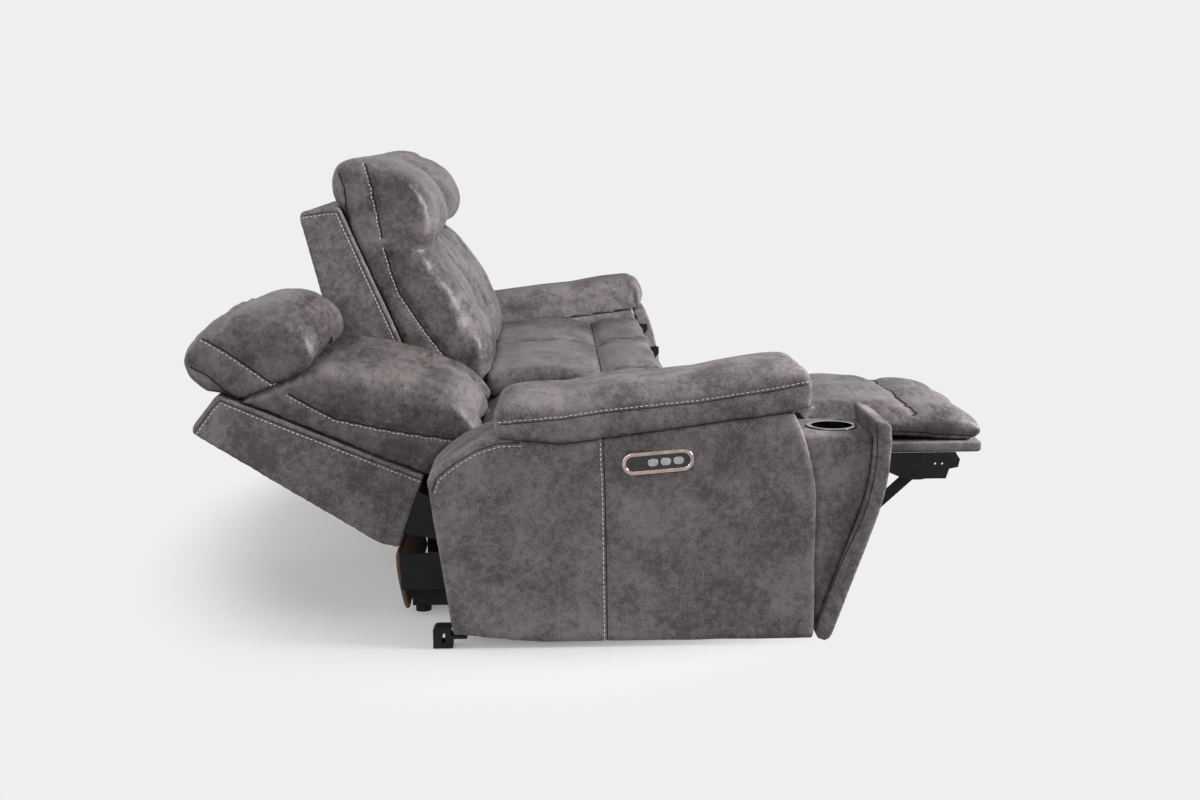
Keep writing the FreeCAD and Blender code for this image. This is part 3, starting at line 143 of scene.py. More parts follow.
# Rails, feet, side plates and links are welded and riveted steel with a thin black powder coat.
# The parts of the drawing are right as they are, so they keep their shape and get the finish.
def grain_group():
    """Fine and coarse marks of a coated or sewn surface: a 0 to 1 mask and a height."""
    group = bpy.data.node_groups.new("Surface marks", "ShaderNodeTree")
    for name, kind, value in (("Coarse", "NodeSocketFloat", 12.0), ("Fine", "NodeSocketFloat", 400.0),
                              ("Stretch", "NodeSocketVector", (1.0, 1.0, 1.0))):
        socket = group.interface.new_socket(name, in_out="INPUT", socket_type=kind)
        socket.default_value = value
    group.interface.new_socket("Mask", in_out="OUTPUT", socket_type="NodeSocketFloat")
    group.interface.new_socket("Height", in_out="OUTPUT", socket_type="NodeSocketFloat")
    given = group.nodes.new("NodeGroupInput")
    place = wire(group, "ShaderNodeTexCoord")
    drawn = wire(group, "ShaderNodeVectorMath", {0: place.outputs["Object"], 1: given.outputs["Stretch"]},
                 operation="MULTIPLY")
    coarse = wire(group, "ShaderNodeTexNoise", {"Vector": drawn.outputs[0], "Scale": given.outputs["Coarse"],
                  "Detail": 6.0, "Roughness": 0.62, "Distortion": 0.4})
    fine = wire(group, "ShaderNodeTexNoise", {"Vector": place.outputs["Object"],
                "Scale": given.outputs["Fine"], "Detail": 2.0, "Roughness": 0.6})
    small = wire(group, "ShaderNodeMath", {0: given.outputs["Coarse"], 1: 7.0}, operation="MULTIPLY")
    mottle = wire(group, "ShaderNodeTexNoise", {"Vector": drawn.outputs[0], "Scale": small.outputs[0],
                  "Detail": 4.0, "Roughness": 0.75, "Distortion": 0.3})
    mixed = wire(group, "ShaderNodeMath", {0: coarse.outputs[0], 1: 0.42}, operation="MULTIPLY")
    mixed = wire(group, "ShaderNodeMath", {0: mottle.outputs[0], 1: 0.34, 2: mixed.outputs[0]},
                 operation="MULTIPLY_ADD")
    mixed = wire(group, "ShaderNodeMath", {0: fine.outputs[0], 1: 0.24, 2: mixed.outputs[0]},
                 operation="MULTIPLY_ADD")
    done = group.nodes.new("NodeGroupOutput")
    group.links.new(mixed.outputs[0], done.inputs["Mask"])
    group.links.new(fine.outputs[0], done.inputs["Height"])
    return group


marks = grain_group()


def coated(name, dark, light, coarse, fine, rough, bump, metal=0.0, stretch=(1, 1, 1), shine=0.5):
    """A finish between two tones, with marks in its colour, roughness and height."""
    material, tree, out = bare_material(name)
    grain = tree.nodes.new("ShaderNodeGroup")
    grain.node_tree = marks
    grain.inputs["Coarse"].default_value = coarse
    grain.inputs["Fine"].default_value = fine
    grain.inputs["Stretch"].default_value = stretch
    sharpen = wire(tree, "ShaderNodeMapRange", {"Value": grain.outputs["Mask"], "From Min": 0.43,
                   "From Max": 0.57})
    tone = wire(tree, "ShaderNodeMix", {0: sharpen.outputs[0], 6: (*dark, 1.0), 7: (*light, 1.0)},
                data_type="RGBA")
    gloss = wire(tree, "ShaderNodeMapRange", {"Value": grain.outputs["Mask"], "From Min": 0.3,
                 "From Max": 0.7, "To Min": rough[0], "To Max": rough[1]})
    relief = wire(tree, "ShaderNodeBump", {"Height": grain.outputs["Height"], "Strength": bump,
                  "Distance": 0.001})
    skin = wire(tree, "ShaderNodeBsdfPrincipled", {"Base Color": tone.outputs[2], "Metallic": metal,
                "Roughness": gloss.outputs[0], "Normal": relief.outputs[0],
                "Specular IOR Level": shine})
    tree.links.new(skin.outputs[0], out.inputs["Surface"])
    return material


def finish_node(name, material):
    """Give a part of the drawing its finish."""
    for entry in nodes[name].material_slots:
        entry.material = material


black_steel = coated("black_steel", (0.0035, 0.0035, 0.004), (0.009, 0.009, 0.010), 30.0, 900.0,
                     (0.42, 0.6), 0.25, shine=0.18)
finish_node("base_frame", black_steel)
for hand in ("right", "left"):
    for steel in ("side_plates", "footrest_brackets", "footrest_spring", "swing_links", "coupler_links",
                  "back_brackets", "arm_foot"):
        finish_node(hand + "_" + steel, black_steel)


# Decks and the centre frame are plywood and pine, stapled together under a thin dark dust cloth.
dust_cloth = coated("dust_cloth", (0.010, 0.009, 0.009), (0.022, 0.020, 0.020), 30.0, 1100.0,
                    (0.8, 0.95), 0.5, shine=0.1)
for name in ("right_seat_deck", "left_seat_deck", "centre_seat_frame"):
    finish_node(name, dust_cloth)


# Each arm is a board box under a thin foam and a mottled suede-look cover. The cover is sewn from
# panels, with a long upright seam in the outer side and another round the rear shoulder.
suede = coated("side_suede", (0.078, 0.069, 0.073), (0.188, 0.168, 0.175), 9.0, 300.0, (0.70, 0.9), 0.6,
               shine=0.16)
# The near-black colour of the seam strips is painted shade, standing in for the shadow in the seam grooves.
painted_seam_shade = coated("painted_seam_shade", (0.012, 0.010, 0.010), (0.02, 0.018, 0.018), 60.0, 500.0, (0.85, 0.95), 0.3,
                  shine=0.1)
thread = coated("pale_thread", (0.55, 0.52, 0.48), (0.72, 0.69, 0.64), 90.0, 1500.0, (0.6, 0.8), 0.5)


def mesh_object(name, mesh, materials):
    """An object in the scene for a mesh, with its materials."""
    thing = bpy.data.objects.new(name, mesh)
    scene.collection.objects.link(thing)
    for material in materials:
        thing.data.materials.append(material)
    return thing


def baked(thing, name):
    """The object's evaluated shape as a plain mesh."""
    graph = bpy.context.evaluated_depsgraph_get()
    mesh = bpy.data.meshes.new_from_object(thing.evaluated_get(graph), depsgraph=graph)
    mesh.name = name
    return mesh


def remeshed(mesh, voxel, passes):
    """The mesh as even small faces, its edges rounded by a few smoothing passes."""
    trial = bpy.data.objects.new("trial", mesh)
    scene.collection.objects.link(trial)
    grid = trial.modifiers.new("Grid", "REMESH")
    grid.mode = "VOXEL"
    grid.voxel_size = voxel
    even = trial.modifiers.new("Even", "SMOOTH")
    even.factor = 0.5
    even.iterations = passes
    result = baked(trial, mesh.name)
    bpy.data.objects.remove(trial)
    return result


def node_copy(name):
    """A part of the drawing as one closed mesh of its own."""
    mesh = nodes[name].data.copy()
    form = bmesh.new()
    form.from_mesh(mesh)
    bmesh.ops.remove_doubles(form, verts=form.verts, dist=1e-5)
    form.to_mesh(mesh)
    form.free()
    mesh.materials.clear()
    return mesh


def points_of(mesh):
    """The mesh's points as rows of an array."""
    spots = np.empty(len(mesh.vertices) * 3)
    mesh.vertices.foreach_get("co", spots)
    return spots.reshape(-1, 3)


def set_points(mesh, spots):
    """Move the mesh's points to the rows of an array."""
    mesh.vertices.foreach_set("co", np.ascontiguousarray(spots).ravel())
    mesh.update()


def normals_of(mesh):
    """The directions in which the mesh's points face."""
    normals = np.empty(len(mesh.vertices) * 3)
    mesh.vertex_normals.foreach_get("vector", normals)
    return normals.reshape(-1, 3)


def surface_of(mesh):
    """The mesh as it is now, for finding the nearest place on it."""
    mesh.calc_loop_triangles()
    faces = [tuple(face.vertices) for face in mesh.loop_triangles]
    return BVHTree.FromPolygons([vert.co.copy() for vert in mesh.vertices], faces)


def laid(surface, line, step=0.003, reach=0.08):
    """A line sampled at even steps and laid on a surface: its points and the surface's normals there."""
    knots = [Vector(spot) for spot in line]
    samples = []
    for first, second in zip(knots[:-1], knots[1:]):
        count = max(1, int((second - first).length / step))
        samples += [first.lerp(second, number / count) for number in range(count)]
    samples.append(knots[-1])
    spots = []
    normals = []
    for sample in samples:
        spot, normal, face, gap = surface.find_nearest(sample, reach)
        if spot is not None and (not spots or (spot - spots[-1]).length > step * 0.3):
            spots.append(spot)
            normals.append(normal)
    for turn in range(3):
        eased = [spots[0]]
        for before, here, after in zip(spots[:-2], spots[1:-1], spots[2:]):
            eased.append((before + here * 2 + after) / 4)
        spots = eased + [spots[-1]]
    return spots, normals


def nearest_of(spots):
    """A search for the nearest of some points."""
    tree = KDTree(len(spots))
    for number, spot in enumerate(spots):
        tree.insert(spot, number)
    tree.balance()
    return tree


pucker_reach = 0.05
pucker_fade = 0.022
pucker_start = 0.006


def pressed(mesh, lines, depth, width, pucker=0.0, pitch=0.02, seed=0):
    """Pull the surface in along laid lines, with small puckers across them."""
    spots = []
    along = []
    for line in lines:
        total = 0.0
        for number, spot in enumerate(line):
            if number:
                total += (spot - line[number - 1]).length
            spots.append(spot)
            along.append(total)
    tree = nearest_of(spots)
    places = points_of(mesh)
    normals = normals_of(mesh)
    reach = max(width * 3, pucker_reach if pucker else 0.0)
    for number, place in enumerate(places):
        spot, index, gap = tree.find(place)
        if gap > reach:
            continue
        shift = -depth * math.exp(-(gap / width) ** 2)
        if pucker:
            wave = noise.noise(Vector((along[index] / pitch, seed * 7.3, 0.0)))
            fade = math.exp(-gap / pucker_fade) * min(1.0, gap / pucker_start)
            shift += pucker * wave * fade
        places[number] += normals[number] * shift
    set_points(mesh, places)


def crumpled(mesh, height, size, seed):
    """Shallow irregular waves of a soft cover over foam."""
    places = points_of(mesh)
    normals = normals_of(mesh)
    shift = Vector((seed * 3.7, seed * 1.9, 0.0))
    for number, place in enumerate(places):
        at = Vector((place[0], place[1], place[2])) / size + shift
        places[number] += normals[number] * height * noise.fractal(at, 1.0, 2.2, 3)
    set_points(mesh, places)


def stitch_tree():
    """Stitches along a line: short rounded threads of one length, spaced at one pitch."""
    tree = bpy.data.node_groups.new("Stitching", "GeometryNodeTree")
    tree.interface.new_socket("Line", in_out="INPUT", socket_type="NodeSocketGeometry")
    for name, value in (("Pitch", 0.0105), ("Stitch Length", 0.0064), ("Thread Radius", 0.0008)):
        socket = tree.interface.new_socket(name, in_out="INPUT", socket_type="NodeSocketFloat")
        socket.default_value = value
    tree.interface.new_socket("Thread", in_out="INPUT", socket_type="NodeSocketMaterial")
    tree.interface.new_socket("Stitches", in_out="OUTPUT", socket_type="NodeSocketGeometry")
    given = tree.nodes.new("NodeGroupInput")
    done = tree.nodes.new("NodeGroupOutput")
    curve = wire(tree, "GeometryNodeMeshToCurve", {"Mesh": given.outputs["Line"]})
    spots = wire(tree, "GeometryNodeCurveToPoints", {"Curve": curve.outputs[0],
                 "Length": given.outputs["Pitch"]}, mode="LENGTH")
    bar = wire(tree, "GeometryNodeMeshCylinder", {"Vertices": 6, "Side Segments": 1,
               "Radius": given.outputs["Thread Radius"], "Depth": given.outputs["Stitch Length"]})
    turn = wire(tree, "FunctionNodeAlignRotationToVector", {"Vector": spots.outputs["Tangent"]}, axis="Z")
    rows = wire(tree, "GeometryNodeInstanceOnPoints", {"Points": spots.outputs["Points"],
                "Instance": bar.outputs["Mesh"], "Rotation": turn.outputs[0]})
    real = wire(tree, "GeometryNodeRealizeInstances", {"Geometry": rows.outputs[0]})
    dyed = wire(tree, "GeometryNodeSetMaterial", {"Geometry": real.outputs[0],
                "Material": given.outputs["Thread"]})
    tree.links.new(dyed.outputs[0], done.inputs[0])
    return tree


def seam_shade_tree():
    """Painted shade in the groove of a seam: a thin round dark strip along a line."""
    tree = bpy.data.node_groups.new("Painted seam shade", "GeometryNodeTree")
    tree.interface.new_socket("Line", in_out="INPUT", socket_type="NodeSocketGeometry")
    socket = tree.interface.new_socket("Strip Radius", in_out="INPUT", socket_type="NodeSocketFloat")
    socket.default_value = 0.0016
    tree.interface.new_socket("Seam Shade", in_out="INPUT", socket_type="NodeSocketMaterial")
    tree.interface.new_socket("Strip", in_out="OUTPUT", socket_type="NodeSocketGeometry")
    given = tree.nodes.new("NodeGroupInput")
    done = tree.nodes.new("NodeGroupOutput")
    curve = wire(tree, "GeometryNodeMeshToCurve", {"Mesh": given.outputs["Line"]})
    ring = wire(tree, "GeometryNodeCurvePrimitiveCircle", {"Resolution": 6,
                "Radius": given.outputs["Strip Radius"]})
    strip = wire(tree, "GeometryNodeCurveToMesh", {"Curve": curve.outputs[0],
                 "Profile Curve": ring.outputs[0], "Fill Caps": True})
    real = wire(tree, "GeometryNodeRealizeInstances", {"Geometry": strip.outputs[0]})
    dyed = wire(tree, "GeometryNodeSetMaterial", {"Geometry": real.outputs[0],
                "Material": given.outputs["Seam Shade"]})
    tree.links.new(dyed.outputs[0], done.inputs[0])
    return tree


stitching = stitch_tree()
seam_shade_strip = seam_shade_tree()


def run_tree(name, lines, tree, values):
    """Lay a tree's pattern along lines, and keep the result as a plain mesh."""
    mesh = bpy.data.meshes.new(name)
    verts = []
    edges = []
    for line in lines:
        start = len(verts)
        verts += [tuple(spot) for spot in line]
        edges += [(start + number, start + number + 1) for number in range(len(line) - 1)]
    mesh.from_pydata(verts, edges, [])
    trial = bpy.data.objects.new(name, mesh)
    scene.collection.objects.link(trial)
    modifier = trial.modifiers.new("Pattern", "NODES")
    modifier.node_group = tree
    sockets = {item.name: item.identifier for item in tree.interface.items_tree if item.in_out == "INPUT"}
    for key, value in values.items():
        modifier[sockets[key]] = value
    result = baked(trial, name)
    bpy.data.objects.remove(trial)
    return result


thread_lift = 0.0004
thread_radius = 0.0008


def aside(line, normals, surface, gap):
    """A row beside a laid line, a gap away across the surface."""
    row = []
    for number, spot in enumerate(line):
        before = line[max(number - 2, 0)]
        after = line[min(number + 2, len(line) - 1)]
        way = (after - before).normalized().cross(normals[min(number, len(normals) - 1)])
        near, normal, face, reach = surface.find_nearest(spot + way.normalized() * gap, 0.05)
        if near is not None:
            row.append(near + normal * thread_lift)
    return row


def sewn(name, mesh, seams, body, shade_radius=0.0010):
    """Sew a finished cover: thin dark strips of painted shade in its seam grooves, and rows of pale stitches
    beside them.

    Each seam is its line, the distances of its stitch rows from it in metres, and whether it gets a strip of
    painted seam shade.
    """
    surface = surface_of(mesh)
    shade_lines = []
    rows = []
    for line, gaps, gets_seam_shade in seams:
        spots, normals = laid(surface, line)
        if len(spots) < 3:
            continue
        if gets_seam_shade:
            shade_lines.append(spots)
        for gap in gaps:
            row = aside(spots, normals, surface, gap) if gap else [
                spot + normal * thread_lift for spot, normal in zip(spots, normals)]
            rows.append(row)
    made = []
    if shade_lines:
        made.append(mesh_object(name + "_seam_shade", run_tree(name + "_seam_shade", shade_lines, seam_shade_strip,
                                                           {"Seam Shade": painted_seam_shade,
                                                            "Strip Radius": shade_radius}), []))
    if rows:
        made.append(mesh_object(name + "_stitches", run_tree(
            name + "_stitches", rows, stitching, {"Thread": thread, "Thread Radius": thread_radius}), []))
    for piece in made:
        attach(piece, body)


def cover_piece(name, mesh, material, body, node):
    """A finished cover, smooth shaded, in the place of its part of the drawing."""
    for face in mesh.polygons:
        face.use_smooth = True
    piece = mesh_object(name, mesh, [material])
    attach(piece, body)
    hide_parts(node)
    return piece


# Each seat has the middle of its width, the depth of its back hinge, the lean of its back, the fold
# of its footrest and a seed for its creases. The right one is open, as in the photograph.
seats = {"right": {"middle": -0.57, "depth": -0.085, "lean": -44.0, "fold": 0.0, "seed": 3},
         "centre": {"middle": 0.0, "depth": 0.155, "lean": 0.0, "fold": 90.0, "seed": 11},
         "left": {"middle": 0.57, "depth": 0.155, "lean": 0.0, "fold": 90.0, "seed": 23}}
hands = {"right": -1, "left": 1}
arm_face = 1.097
arm_pad_face = 1.105
switch_side = 1.06
key_clearance = 0.004


def on_arm(hand, face, forward, height):
    """A point of an arm: its distance out from the middle of the sofa, ahead of the hinge and up."""
    return (face * hands[hand], seats[hand]["depth"] - forward, height)


for hand in hands:
    unit = hand + "_unit"
    mesh = remeshed(node_copy(hand + "_arm_frame"), 0.006, 4)
    surface = surface_of(mesh)
    upright = [on_arm(hand, arm_face, *spot) for spot in ((0.144, 0.456), (0.148, 0.30), (0.151, 0.014))]
    shoulder = [on_arm(hand, arm_face, *spot) for spot in (
        (-0.214, 0.345), (-0.204, 0.372), (-0.165, 0.403), (-0.12, 0.429), (-0.076, 0.443), (-0.03, 0.446))]
    pressed(mesh, [laid(surface, line)[0] for line in (upright, shoulder)], 0.0016, 0.006)
    crumpled(mesh, 0.0014, 0.12, seats[hand]["seed"])
    low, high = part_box(hand + "_switch_plate")
    places = points_of(mesh)
    under = ((np.abs(places[:, 0]) > switch_side) & (places[:, 0] * hands[hand] > 0) & (places[:, 1] > low[1])
             & (places[:, 1] < high[1]) & (places[:, 2] > low[2]) & (places[:, 2] < high[2]))
    places[under, 0] -= hands[hand] * key_clearance
    set_points(mesh, places)
    cover_piece(hand + "_arm_cover", mesh, suede, unit, hand + "_arm_frame")
    turn = -hands[hand]
    sewn(hand + "_arm", mesh, [(upright, [0.0065 * turn], True), (shoulder, [0.007 * turn], True)], unit)


# The long pad on each arm is a foam roll under one panel of the mottled cover, closed along its
# sides by a seam with a row of pale stitches beside it. It sits on the arm and tapers rearward.
leather = coated("seat_leather", (0.026, 0.0212, 0.0210), (0.122, 0.1055, 0.1050), 10.0, 420.0,
                 (0.34, 0.52), 0.6, stretch=(0.45, 1.0, 1.0), shine=0.34)


resting_share = 0.75
first_swell = 0.002
seam_hold = 0.009
foam_pressure = 5.0
foam_frames = 20


def swelled(name, cap, flat, held, voxel, crown, rear):
    """Foam pressed out against its cover, held back at seams and on the side that it rests on."""
    mesh = remeshed(node_copy(name), voxel, 2)
    low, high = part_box(name)
    start = points_of(mesh)
    normals = normals_of(mesh)
    resting = normals @ np.array(flat) > resting_share
    if rear is not None:
        resting |= start[:, 1] > rear
    start = start + normals * first_swell * (~resting)[:, None]
    set_points(mesh, start)
    surface = surface_of(mesh)
    lines = [laid(surface, line, 0.006)[0] for line in held]
    tree = nearest_of([spot for line in lines for spot in line])
    gaps = np.array([tree.find(place)[2] for place in start])
    trial = mesh_object("trial", mesh, [])
    pins = trial.vertex_groups.new(name="pins")
    pins.add([int(number) for number in np.nonzero(resting | (gaps < seam_hold))[0]], 1.0, "REPLACE")
    foam = trial.modifiers.new("Foam", "CLOTH")
    foam.settings.quality = 4
    foam.settings.mass = 0.3
    foam.settings.tension_stiffness = 14.0
    foam.settings.compression_stiffness = 14.0
    foam.settings.bending_stiffness = 0.6
    foam.settings.use_pressure = True
    foam.settings.uniform_pressure_force = foam_pressure
    foam.settings.vertex_group_mass = "pins"
    foam.settings.effector_weights.gravity = 0.0
    foam.collision_settings.use_collision = False
    foam.point_cache.frame_end = foam_frames
    for number in range(1, foam_frames + 1):
        scene.frame_set(number)
    blown = baked(trial, name)
    moved = points_of(blown) - start
    bpy.data.objects.remove(trial)
    scene.frame_set(1)
    length = np.linalg.norm(moved, axis=1)
    moved *= np.minimum(1.0, cap / np.maximum(length, 1e-9))[:, None]
    final = start + moved
    if crown is not None:
        way = np.array(crown)
        size = np.linalg.norm(way)
        facing = np.clip(normals @ way / size, 0.0, 1.0)
        middle = (low[0] + high[0]) / 2
        reach = (high[0] - low[0]) / 2
        final += (facing * (1.0 - ((final[:, 0] - middle) / reach) ** 4))[:, None] * way
    final[:, 0] = np.clip(final[:, 0], low[0], high[0])
    set_points(mesh, final)
    trial = mesh_object("trial", mesh, [])
    finer = trial.modifiers.new("Finer", "SUBSURF")
    finer.levels = finer.render_levels = 1
    result = baked(trial, name)
    bpy.data.objects.remove(trial)
    return result


seam_width = 0.010
pucker_pitch = 0.017
# Radii of the dark strips of painted seam shade on pads and on cushions.
pad_seam_shade = 0.0008
cushion_seam_shade = 0.0016


def cushion(name, node, body, flat, cap, seams, seed, wave, size, pucker,
            material=None, crown=None, seam_depth=0.0050, voxel=0.013, rear=None):
    """One stuffed piece: swelled, pressed in at its seams, gently creased, then sewn."""
    mesh = swelled(node, cap, flat, [line for line, gaps, joint in seams if joint], voxel, crown, rear)
    surface = surface_of(mesh)
    lines = [laid(surface, line)[0] for line, gaps, joint in seams if joint]
    crumpled(mesh, wave, size, seed)
    pressed(mesh, lines, seam_depth, seam_width, pucker, pucker_pitch, seed)
    cover_piece(name, mesh, material or leather, body, node)
    sewn(name, mesh, seams, body, shade_radius=pad_seam_shade if material else cushion_seam_shade)


for hand in hands:
    seam = [on_arm(hand, arm_pad_face, *spot) for spot in (
        (-0.070, 0.484), (0.06, 0.494), (0.14, 0.506), (0.348, 0.526), (0.50, 0.549), (0.570, 0.562))]
    cushion(hand + "_arm_rest", hand + "_arm_pad", hand + "_unit", (0, 0, -1), 0.010,
            [(seam, [0.0055 * hands[hand]], True)], seats[hand]["seed"] + 5,
            wave=0.0012, size=0.14, pucker=0.0003, material=suede, seam_depth=0.0028,
            voxel=0.009)


# The switch by the sitter's hand is a black plastic plate in a rosy plated bezel, with four small
# keys that press in. It is a bought part, so its drawn shapes stay and get their plating.
bezel_plate = coated("rosy_plating", (0.34, 0.25, 0.23), (0.52, 0.40, 0.37), 40.0, 900.0, (0.14, 0.26), 0.05,
                     metal=1.0)
plastic = coated("black_plastic", (0.010, 0.010, 0.012), (0.022, 0.022, 0.025), 60.0, 1400.0,
                 (0.28, 0.42), 0.3)
key_silver = coated("key_silver", (0.30, 0.30, 0.31), (0.42, 0.42, 0.43), 70.0, 1200.0, (0.3, 0.42), 0.1,
                    metal=0.7)
for hand in hands:
    finish_node(hand + "_switch_bezel", bezel_plate)
    finish_node(hand + "_switch_plate", plastic)
    for key in ("open", "close", "headrest"):
        finish_node(hand + "_" + key + "_button", key_silver)
    finish_node(hand + "_power_button", plastic)


# The console at the front of each arm is a board box and a curved board front under the suede
# cover, with a steel cup let into its top. A seam follows the outer edge of the front board.
cup_steel = coated("cup_steel", (0.10, 0.10, 0.105), (0.22, 0.22, 0.23), 20.0, 800.0, (0.10, 0.22), 0.05,
                   metal=1.0, stretch=(1, 1, 12))
console_tilt = {"right": 20.0, "left": 0.0}
console_hinge = (0.580, 0.030)
curve_centre = (0.152, 0.300)
curve_low = -0.272
curve_high = 0.197
seam_radius = 0.4485


def on_console(hand, face, radius, share):
    """A point on the outer side of a console's curved front, by its radius and its share of the height."""
    rise = math.asin(curve_low / radius) * (1 - share) + math.asin(curve_high / radius) * share
    ahead_of_hinge = curve_centre[0] + radius * math.cos(rise) - console_hinge[0]
    above_hinge = curve_centre[1] + radius * math.sin(rise) - console_hinge[1]
    turn = math.radians(console_tilt[hand])
    return (face * hands[hand],
            seats[hand]["depth"] - console_hinge[0] - ahead_of_hinge * math.cos(turn)
            - above_hinge * math.sin(turn),
            console_hinge[1] - ahead_of_hinge * math.sin(turn) + above_hinge * math.cos(turn))


for hand in hands:
    finish_node(hand + "_cup_holder", cup_steel)
    for part, rounds in (("console_front", 5), ("console_box", 3)):
        mesh = remeshed(node_copy(hand + "_" + part), 0.005, rounds)
        crumpled(mesh, 0.0009, 0.10, seats[hand]["seed"] + 2)
        cover_piece(hand + "_" + part + "_cover", mesh, suede, hand + "_console", hand + "_" + part)
        if part == "console_front":
            edge = [on_console(hand, 1.092, seam_radius, number / 20) for number in range(21)]
            sewn(hand + "_console_front", mesh, [(edge, [], True)], hand + "_console")


# The drive under each seat is a bought gear motor in a dark moulded housing, bolted between the
# side plates. It can only be seen through the gap behind the arm when the back is down.
motor_case = coated("motor_case", (0.006, 0.006, 0.007), (0.014, 0.014, 0.015), 25.0, 700.0,
                    (0.5, 0.65), 0.4, shine=0.2)
for hand in hands:
    finish_node(hand + "_recline_motor", motor_case)


# The apron that closes the base behind each seat is a stiff brown board, fixed to the deck along
# its top. It hangs free behind the arm, and its low edge bends forward.
board_brown = coated("brown_board", (0.060, 0.030, 0.018), (0.115, 0.062, 0.040), 7.0, 300.0, (0.6, 0.8), 0.4)
bend_height = 0.13
bend_reach = 0.020
for hand in hands:
    mesh = remeshed(node_copy(hand + "_rear_apron"), 0.005, 2)
    places = points_of(mesh)
    bend = np.clip((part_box(hand + "_rear_apron")[0][2] + bend_height - places[:, 2]) / bend_height, 0.0, 1.0)
    places[:, 1] -= bend_reach * bend ** 2
    set_points(mesh, places)
    crumpled(mesh, 0.0008, 0.08, seats[hand]["seed"] + 1)
    cover_piece(hand + "_apron", mesh, board_brown, hand + "_unit", hand + "_rear_apron")


# Each seat is a deep foam block under a leather-look cover, with a cross seam where the front roll
# starts and seamed borders that run over the roll. It rests on the deck.
rear_hold = 0.17


def on_seat(seat, across, forward, height):
    """A point of a seat, from its middle, its back hinge and the floor."""
    return (seats[seat]["middle"] + across, seats[seat]["depth"] - forward, height)


for seat in seats:
    groove = [on_seat(seat, across / 100, 0.410, 0.459) for across in range(-26, 27, 2)]
    borders = []
    for across in (-0.246, 0.246):
        borders.append([on_seat(seat, across, *spot) for spot in (
            (0.572, 0.425), (0.572, 0.455), (0.545, 0.476), (0.52, 0.481), (0.46, 0.476), (0.416, 0.462))])
    seams = [(groove, [], True), (borders[0], [], True), (borders[1], [], True)]
    body = "base" if seat == "centre" else seat + "_unit"
    cushion(seat + "_seat", seat + "_seat_cushion", body, (0, 0, -1), 0.012, seams, seats[seat]["seed"],
            wave=0.0035, size=0.13, pucker=0.0020, rear=seats[seat]["depth"] - rear_hold)


# A footrest is a board with a thick pad of foam on it, in two panels with a seam across and a band
# round its sides. Under the centre seat the same pad is fixed to the frame as the front of the seat.
footrest_hinge = (0.582, 0.446)
band_side = 0.268
band_low = ((-0.355, -0.047), (-0.227, -0.037), (-0.03, -0.034))


def on_footrest(seat, across, rear, up):
    """A point of a footrest, from its middle and its hinge, turned as it is folded."""
    turn = math.radians(seats[seat]["fold"])
    return (seats[seat]["middle"] + across,
            seats[seat]["depth"] - footrest_hinge[0] + rear * math.cos(turn) - up * math.sin(turn),
            footrest_hinge[1] + rear * math.sin(turn) + up * math.cos(turn))


for seat in seats:
    node = "centre_front_pad" if seat == "centre" else seat + "_footrest_pad"
    body = "base" if seat == "centre" else seat + "_footrest"
    under = (0, 0, -1) if seat == "right" else (0, 1, 0)
    cross = [on_footrest(seat, across / 100, -0.276, 0.016) for across in range(-25, 26, 2)]
    band = [on_footrest(seat, -band_side, *spot) for spot in reversed(band_low)]
    band += [on_footrest(seat, across / 100, -0.424, -0.047) for across in range(-25, 26, 5)]
    band += [on_footrest(seat, band_side, *spot) for spot in band_low]
    cushion(seat + "_foot_pad", node, body, under, 0.010, [(cross, [], True), (band, [], True)],
            seats[seat]["seed"] + 9, wave=0.0026, size=0.12, pucker=0.0012)
    if seat != "centre":
        mesh = remeshed(node_copy(seat + "_footrest_board"), 0.005, 2)
        cover_piece(seat + "_footrest_board_cover", mesh, suede, body, seat + "_footrest_board")


# The back of each seat is a wedge-shaped board shell in the suede cover, stitched along its front
# and top edges. A lumbar cushion and a headrest roll lie in front of it, sewn from shaped panels.
back_pole = 0.150


def on_back(seat, across, rear, up):
    """A point of a back, from its middle and its low hinge, turned as it leans."""
    turn = math.radians(seats[seat]["lean"])
    return (seats[seat]["middle"] + across,
            seats[seat]["depth"] + rear * math.cos(turn) - up * math.sin(turn),
            back_pole + rear * math.sin(turn) + up * math.cos(turn))


def back_line(seat, across, spots):
    """A line down a back at one distance from its middle, from points in millimetres."""
    return [on_back(seat, across, rear / 1000, up / 1000) for rear, up in spots]


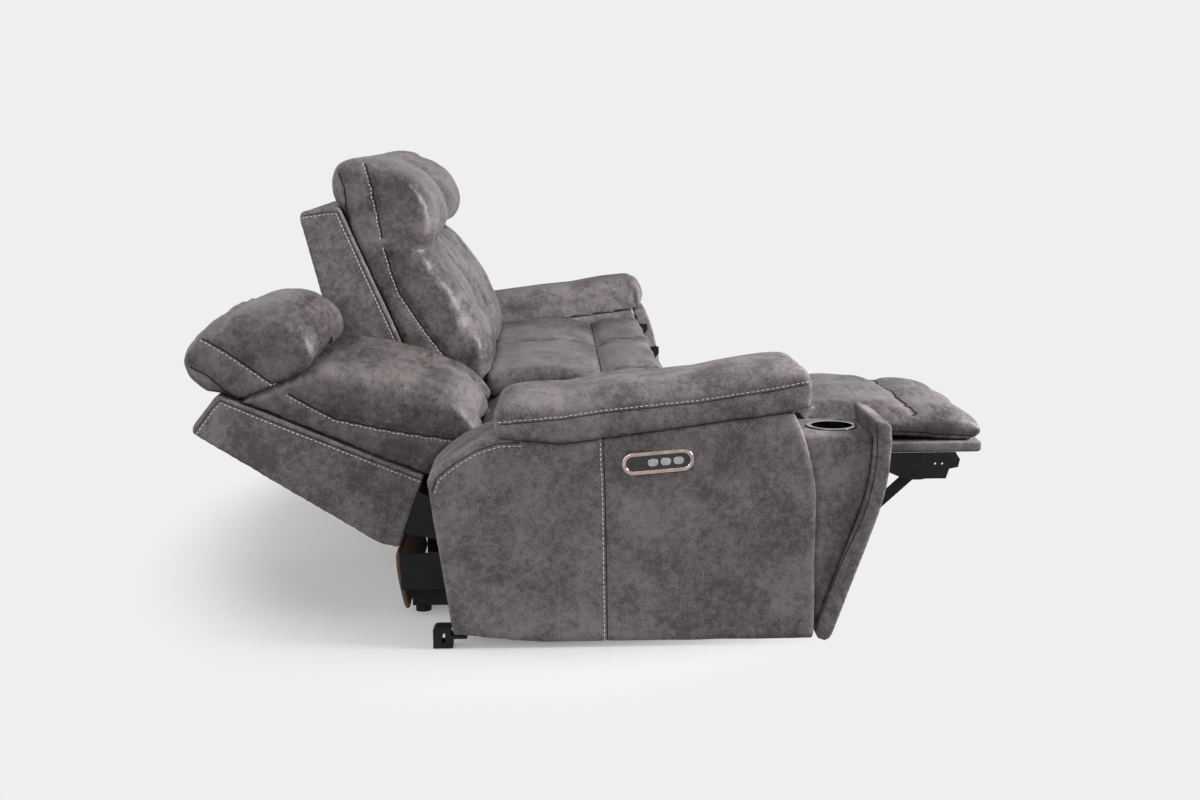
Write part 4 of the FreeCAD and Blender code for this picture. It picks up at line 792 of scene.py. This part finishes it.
for seat in seats:
    seed = seats[seat]["seed"]
    body = "base" if seat == "centre" else seat + "_back"
    mesh = remeshed(node_copy(seat + "_back_shell"), 0.006, 5)
    crumpled(mesh, 0.0012, 0.12, seed + 3)
    cover_piece(seat + "_shell_cover", mesh, suede, body, seat + "_back_shell")
    edges = []
    for side in (-0.282, 0.282):
        line = back_line(seat, side, ((70, 300), (130, 438), (200, 601), (256, 735), (285, 734), (345, 725)))
        edges.append((line, [-0.006 if side < 0 else 0.006], True))
    sewn(seat + "_shell", mesh, edges, body)
    rear_way = Vector(on_back(seat, 0, 1, 0)) - Vector(on_back(seat, 0, 0, 0))
    lower = ((140, 640), (124, 580), (106, 526), (50, 440), (-10, 358), (-60, 292))
    upper = ((184, 857), (168, 790), (155, 720), (147, 668))
    front = ((62, 628), (28, 588), (-20, 510), (-62, 440), (-96, 380), (-106, 340), (-100, 290))
    rear = ((250, 831), (237, 790), (235, 758), (243, 712))
    low_seams = [(back_line(seat, side, lower), [0.006 if side < 0 else -0.006], True)
                 for side in (-0.279, 0.279)]
    low_seams += [(back_line(seat, side, front), [], True) for side in (-0.130, 0.130)]
    high_seams = [(back_line(seat, side, upper), [0.006 if side < 0 else -0.006], True)
                  for side in (-0.279, 0.279)]
    high_seams += [(back_line(seat, side, rear), [], True) for side in (-0.279, 0.279)]
    front_way = Vector(on_back(seat, 0, -1, 0.25)) - Vector(on_back(seat, 0, 0, 0))
    if seat == "centre":
        cushion("centre_back", "centre_back_cushion", body, tuple(rear_way), 0.014,
                low_seams + high_seams, seed + 4, wave=0.0035, size=0.12, pucker=0.0022,
                crown=tuple(front_way * 0.020))
    else:
        cushion(seat + "_lumbar", seat + "_back_cushion", body, tuple(rear_way), 0.014, low_seams,
                seed + 4, wave=0.0035, size=0.12, pucker=0.0022, crown=tuple(front_way * 0.020))
        cushion(seat + "_head_roll", seat + "_headrest", seat + "_head", tuple(rear_way), 0.012,
                high_seams, seed + 6, wave=0.0032, size=0.11, pucker=0.0020,
                crown=tuple(front_way * 0.028))
